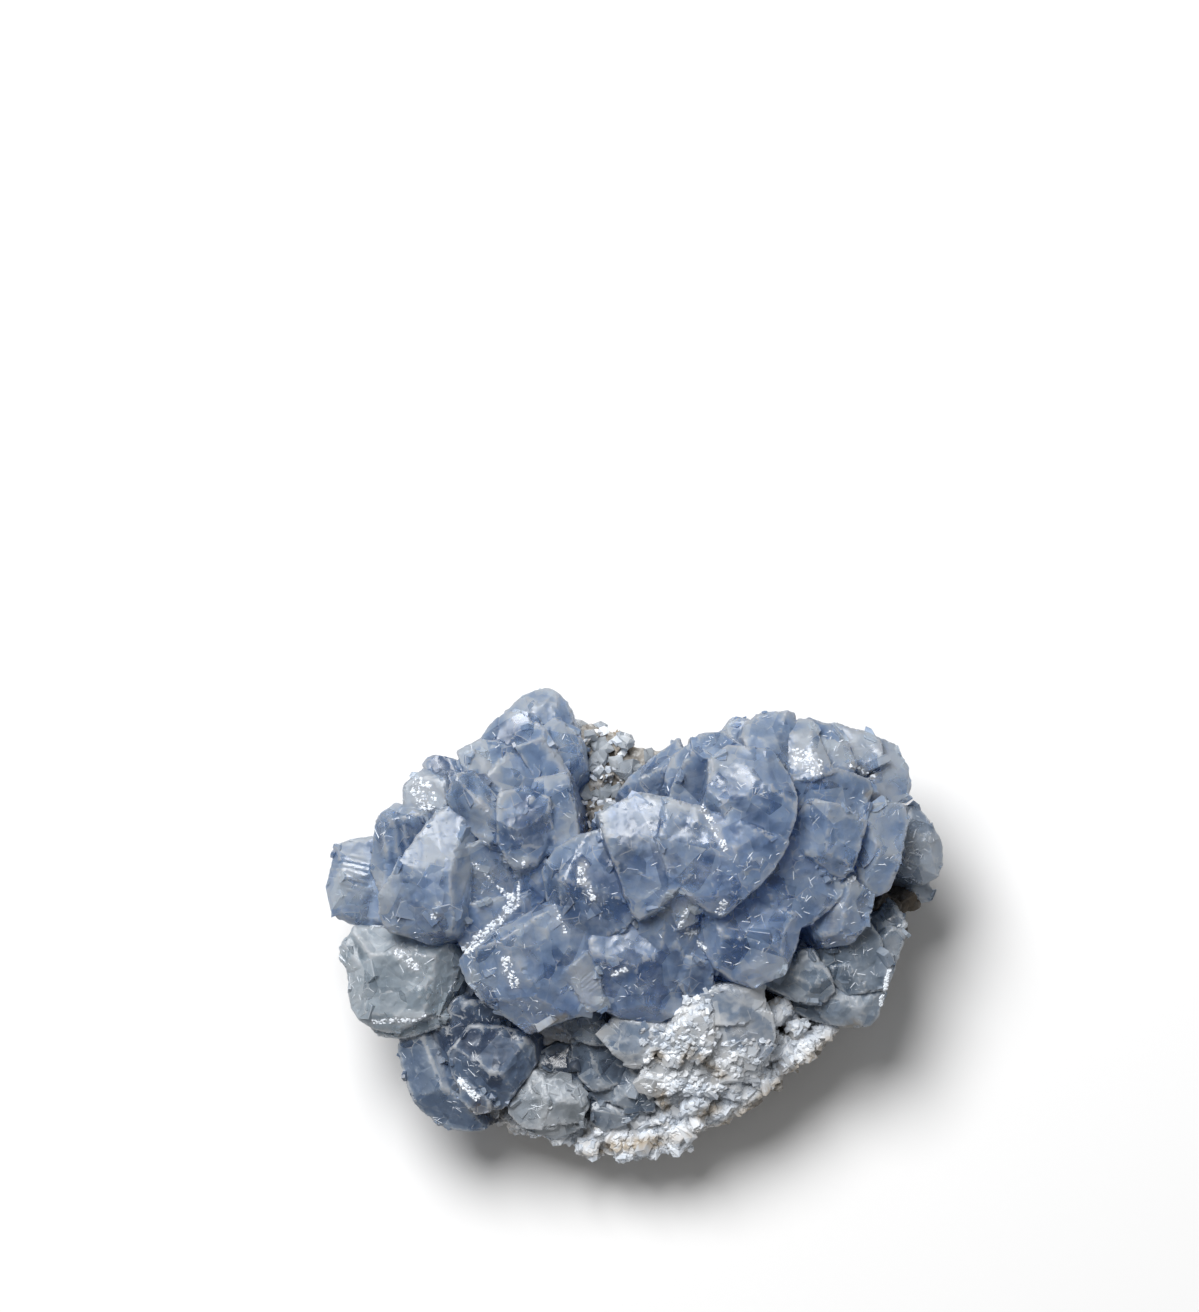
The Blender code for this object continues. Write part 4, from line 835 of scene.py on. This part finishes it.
def worn_rock():
    """The rock with a granular, layered surface: noise of several sizes along the normals.

    On steep faces the surface steps in and out with height in places, as a wave whose phase
    noise shifts and whose strength noise fades.
    """
    voxel, budget = WORN["matrix"]
    obj = merged_copy("matrix", "worn_rock")
    through_modifier(obj, "REMESH", mode="VOXEL", voxel_size=voxel * MM, adaptivity=0.0)
    points = vertex_array(obj.data)
    triangles = triangle_array(obj.data)
    normal = vertex_normals(points, triangles)
    above = np.clip(points[:, 2] / (2.5 * MM), 0, 1)
    phase = points[:, 2] / (2.3 * MM) + 1.6 * rough(points, 7 * MM, lattice(23), 3)
    patchy = np.clip(0.5 + 1.2 * rough(points, 5 * MM, lattice(24), 2), 0, 1)
    layers = 0.32 * MM * np.sin(2 * math.pi * phase) * patchy * (1 - np.abs(normal[:, 2]))
    lumps = 0.22 * MM * rough(points, 2.4 * MM, lattice(21), 2) + 0.16 * MM * rough(points, 0.9 * MM, lattice(22), 2)
    moved = points + normal * ((layers + lumps - 0.1 * MM) * above)[:, None]
    obj.data.vertices.foreach_set("co", moved.astype(np.float32).ravel())
    put_attribute(obj, "ridge", np.clip(sharpness(moved, triangles, 3) / (0.15 * MM), -1, 1))
    # The depth is painted shade in low places, plus the dark rock patches, which are the rock's own colour.
    put_attribute(obj, "depth", np.clip(depth_below(moved) + patches(moved, DARK_ROCK), 0, 1.6))
    inside = np.clip(-depth_below(moved, UNDERSIDE, 3, -2) - 0.7, 0, 1)
    put_attribute(obj, "covered", inside * depth_below(moved, CRYSTAL_TOPS, 3))
    front = np.clip((-6 * MM - moved[:, 1]) / (4 * MM), 0, 1) * np.clip((moved[:, 0] + 27 * MM) / (3 * MM), 0, 1)
    upper = np.clip(vertex_normals(moved, triangles)[:, 2] / 0.3, 0, 1)
    white = 1 - np.clip(2 * patches(moved, DARK_ROCK), 0, 1)
    put_attribute(obj, "crusted", front * upper * white * (1 - depth_below(moved)))
    ratio = min(1.0, budget / len(triangles))
    through_modifier(obj, "DECIMATE", decimate_type="COLLAPSE", ratio=ratio, use_collapse_triangulate=True)
    smoothed(obj, 40)
    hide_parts("matrix")
    finish_piece(obj, ROCK)
    return obj


def seats_where(obj, count, keep, seed):
    """Seats spread over a mesh, kept where a test of place and normal holds."""
    places, normals = spread(obj, count, np.random.default_rng(seed))
    kept = keep(places / MM, normals)
    return places[kept], normals[kept]


def on_the_ledges(place, normal):
    """The upper side of the rock along the front edge, apart from its holes."""
    front = (place[:, 1] < -8) & (place[:, 0] > -27) & (place[:, 2] > 3)
    clean = (normal[:, 2] > 0.3) & (patches(place * MM, DARK_ROCK) < 0.3)
    return front & clean & (depth_below(place * MM) < 0.45)


def on_other_rock(place, normal):
    """The bare rock of the notch at the back and of the upper edges."""
    behind = (place[:, 1] > 0) | (place[:, 0] < -27)
    return (place[:, 2] > 8) & (normal[:, 2] > 0.25) & behind & (patches(place * MM, DARK_ROCK) < 0.3)


def in_the_notch(place, normal):
    """The bare rock of the notch at the back."""
    return (place[:, 1] > 18) & (np.abs(place[:, 0] + 1) < 9) & (place[:, 2] > 8) & (normal[:, 2] > 0.1)


def on_the_crust(place, normal):
    """The upper faces of the white crystals, apart from the smooth grey ones at their right."""
    return (normal[:, 2] > 0.05) & ((place[:, 0] < 12.5) | (place[:, 1] < -18)) & (place[:, 0] > 1)


BLOCK = (1, 1, 1)
LOW = (1, 1, 0.55)
SPLINTER = (3.2, 0.32, 0.22)

worn = {node: worn_crystals(node, material) for node, material in MATERIALS.items()}
rock = worn_rock()
for index, (node, material) in enumerate(MATERIALS.items()):
    main = node == "main_crystals"
    small_crystals("small_" + node, material, SEATS[node, "creases"], (0.4, 1.9), 380 if main else 90,
                   0.35, BLOCK, 61 + index)
    crystal_plates("plates_" + node, material, SEATS[node, "flats"], (1.8, 6.0), (0.0, 0.1),
                   240 if main else 50, 0.09, 81 + index)
    crystal_plates("rims_" + node, material, SEATS[node, "rims"], (1.0, 3.2), (0.06, 0.14),
                   300 if main else 50, 0.09, 91 + index)
    # White glossy splinters on the faces: scratches, and painted glints.
    small_crystals("scratches_and_glints_" + node, SCRATCH_AND_GLINT, SEATS[node, "scratch_and_glint_seats"], (0.08, 0.45),
                   1300 if main else 150, 0.15, SPLINTER, 101 + index)
    # White flakes where marked: white marks, and painted highlights on the bright strip and the bright crystal.
    if len(SEATS[node, "marked"][0]) > 100:
        small_crystals("marks_" + node, SCRATCH_AND_GLINT, SEATS[node, "marked"], (0.15, 0.6),
                       1000 if main else 150, 0.2, LOW, 111 + index)
WHITE_CRYSTAL = MATERIALS["white_crust_crystals"]
crust = seats_where(worn["white_crust_crystals"], 6000, on_the_crust, 71)
small_crystals("crust_grains", GRAIN, crust, (0.35, 1.3), 1000, 0.35, LOW, 72)
ledges = seats_where(rock, 30000, on_the_ledges, 73)
small_crystals("ledge_grains", GRAIN, ledges, (0.35, 1.25), 7500, 0.3, LOW, 74)
small_crystals("ledge_crystals", GRAIN, ledges, (1.1, 2.4), 220, 0.25, LOW, 79)
crystal_plates("ledge_plates", GRAIN, ledges, (1.2, 3.0), (-0.05, 0.08), 260, 0.14, 80)
crystal_plates("crust_plates", WHITE_CRYSTAL, crust, (1.2, 3.6), (-0.06, 0.06), 220, 0.16, 89)
bare = seats_where(rock, 30000, on_other_rock, 75)
small_crystals("rock_grains", GRAIN, bare, (0.4, 1.5), 1400, 0.5, BLOCK, 76)
notch = seats_where(rock, 30000, in_the_notch, 77)
small_crystals("notch_crystals", MATERIALS["front_crystals"], notch, (1.4, 3.2), 90, 0.4, BLOCK, 78)


def studio():
    """A white floor, a large soft key light from the back left, a pale world and the camera."""
    bpy.ops.mesh.primitive_plane_add(size=6.0, location=(0, 0, 0))
    floor = bpy.context.object
    floor.name = "floor"
    material, _, shader, _ = new_material("floor_white")
    shader.inputs["Base Color"].default_value = (0.93, 0.93, 0.93, 1)
    shader.inputs["Roughness"].default_value = 0.9
    floor.data.materials.append(material)

    key = bpy.data.lights.new("key", "AREA")
    key.shape = "DISK"
    key.size = 0.55
    key.energy = 12
    lamp = bpy.data.objects.new("key", key)
    bpy.context.scene.collection.objects.link(lamp)
    lamp.location = (-0.24, 0.47, 0.85)
    lamp.rotation_euler = lamp.location.to_track_quat("Z", "Y").to_euler()

    world = bpy.data.worlds.new("studio")
    world.use_nodes = True
    world.node_tree.nodes["Background"].inputs["Color"].default_value = (1, 1, 1, 1)
    world.node_tree.nodes["Background"].inputs["Strength"].default_value = 0.2
    bpy.context.scene.world = world

    camera = bpy.data.objects.new("camera", bpy.data.cameras.new("camera"))
    camera.data.lens = 300
    camera.data.sensor_width = 36
    camera.location = (-0.00568, 0.04334, 0.025 + 0.2099 * 300 / 36)
    camera.data.clip_end = 10
    bpy.context.scene.collection.objects.link(camera)
    bpy.context.scene.camera = camera
    bpy.context.scene.view_settings.view_transform = "Standard"


studio()
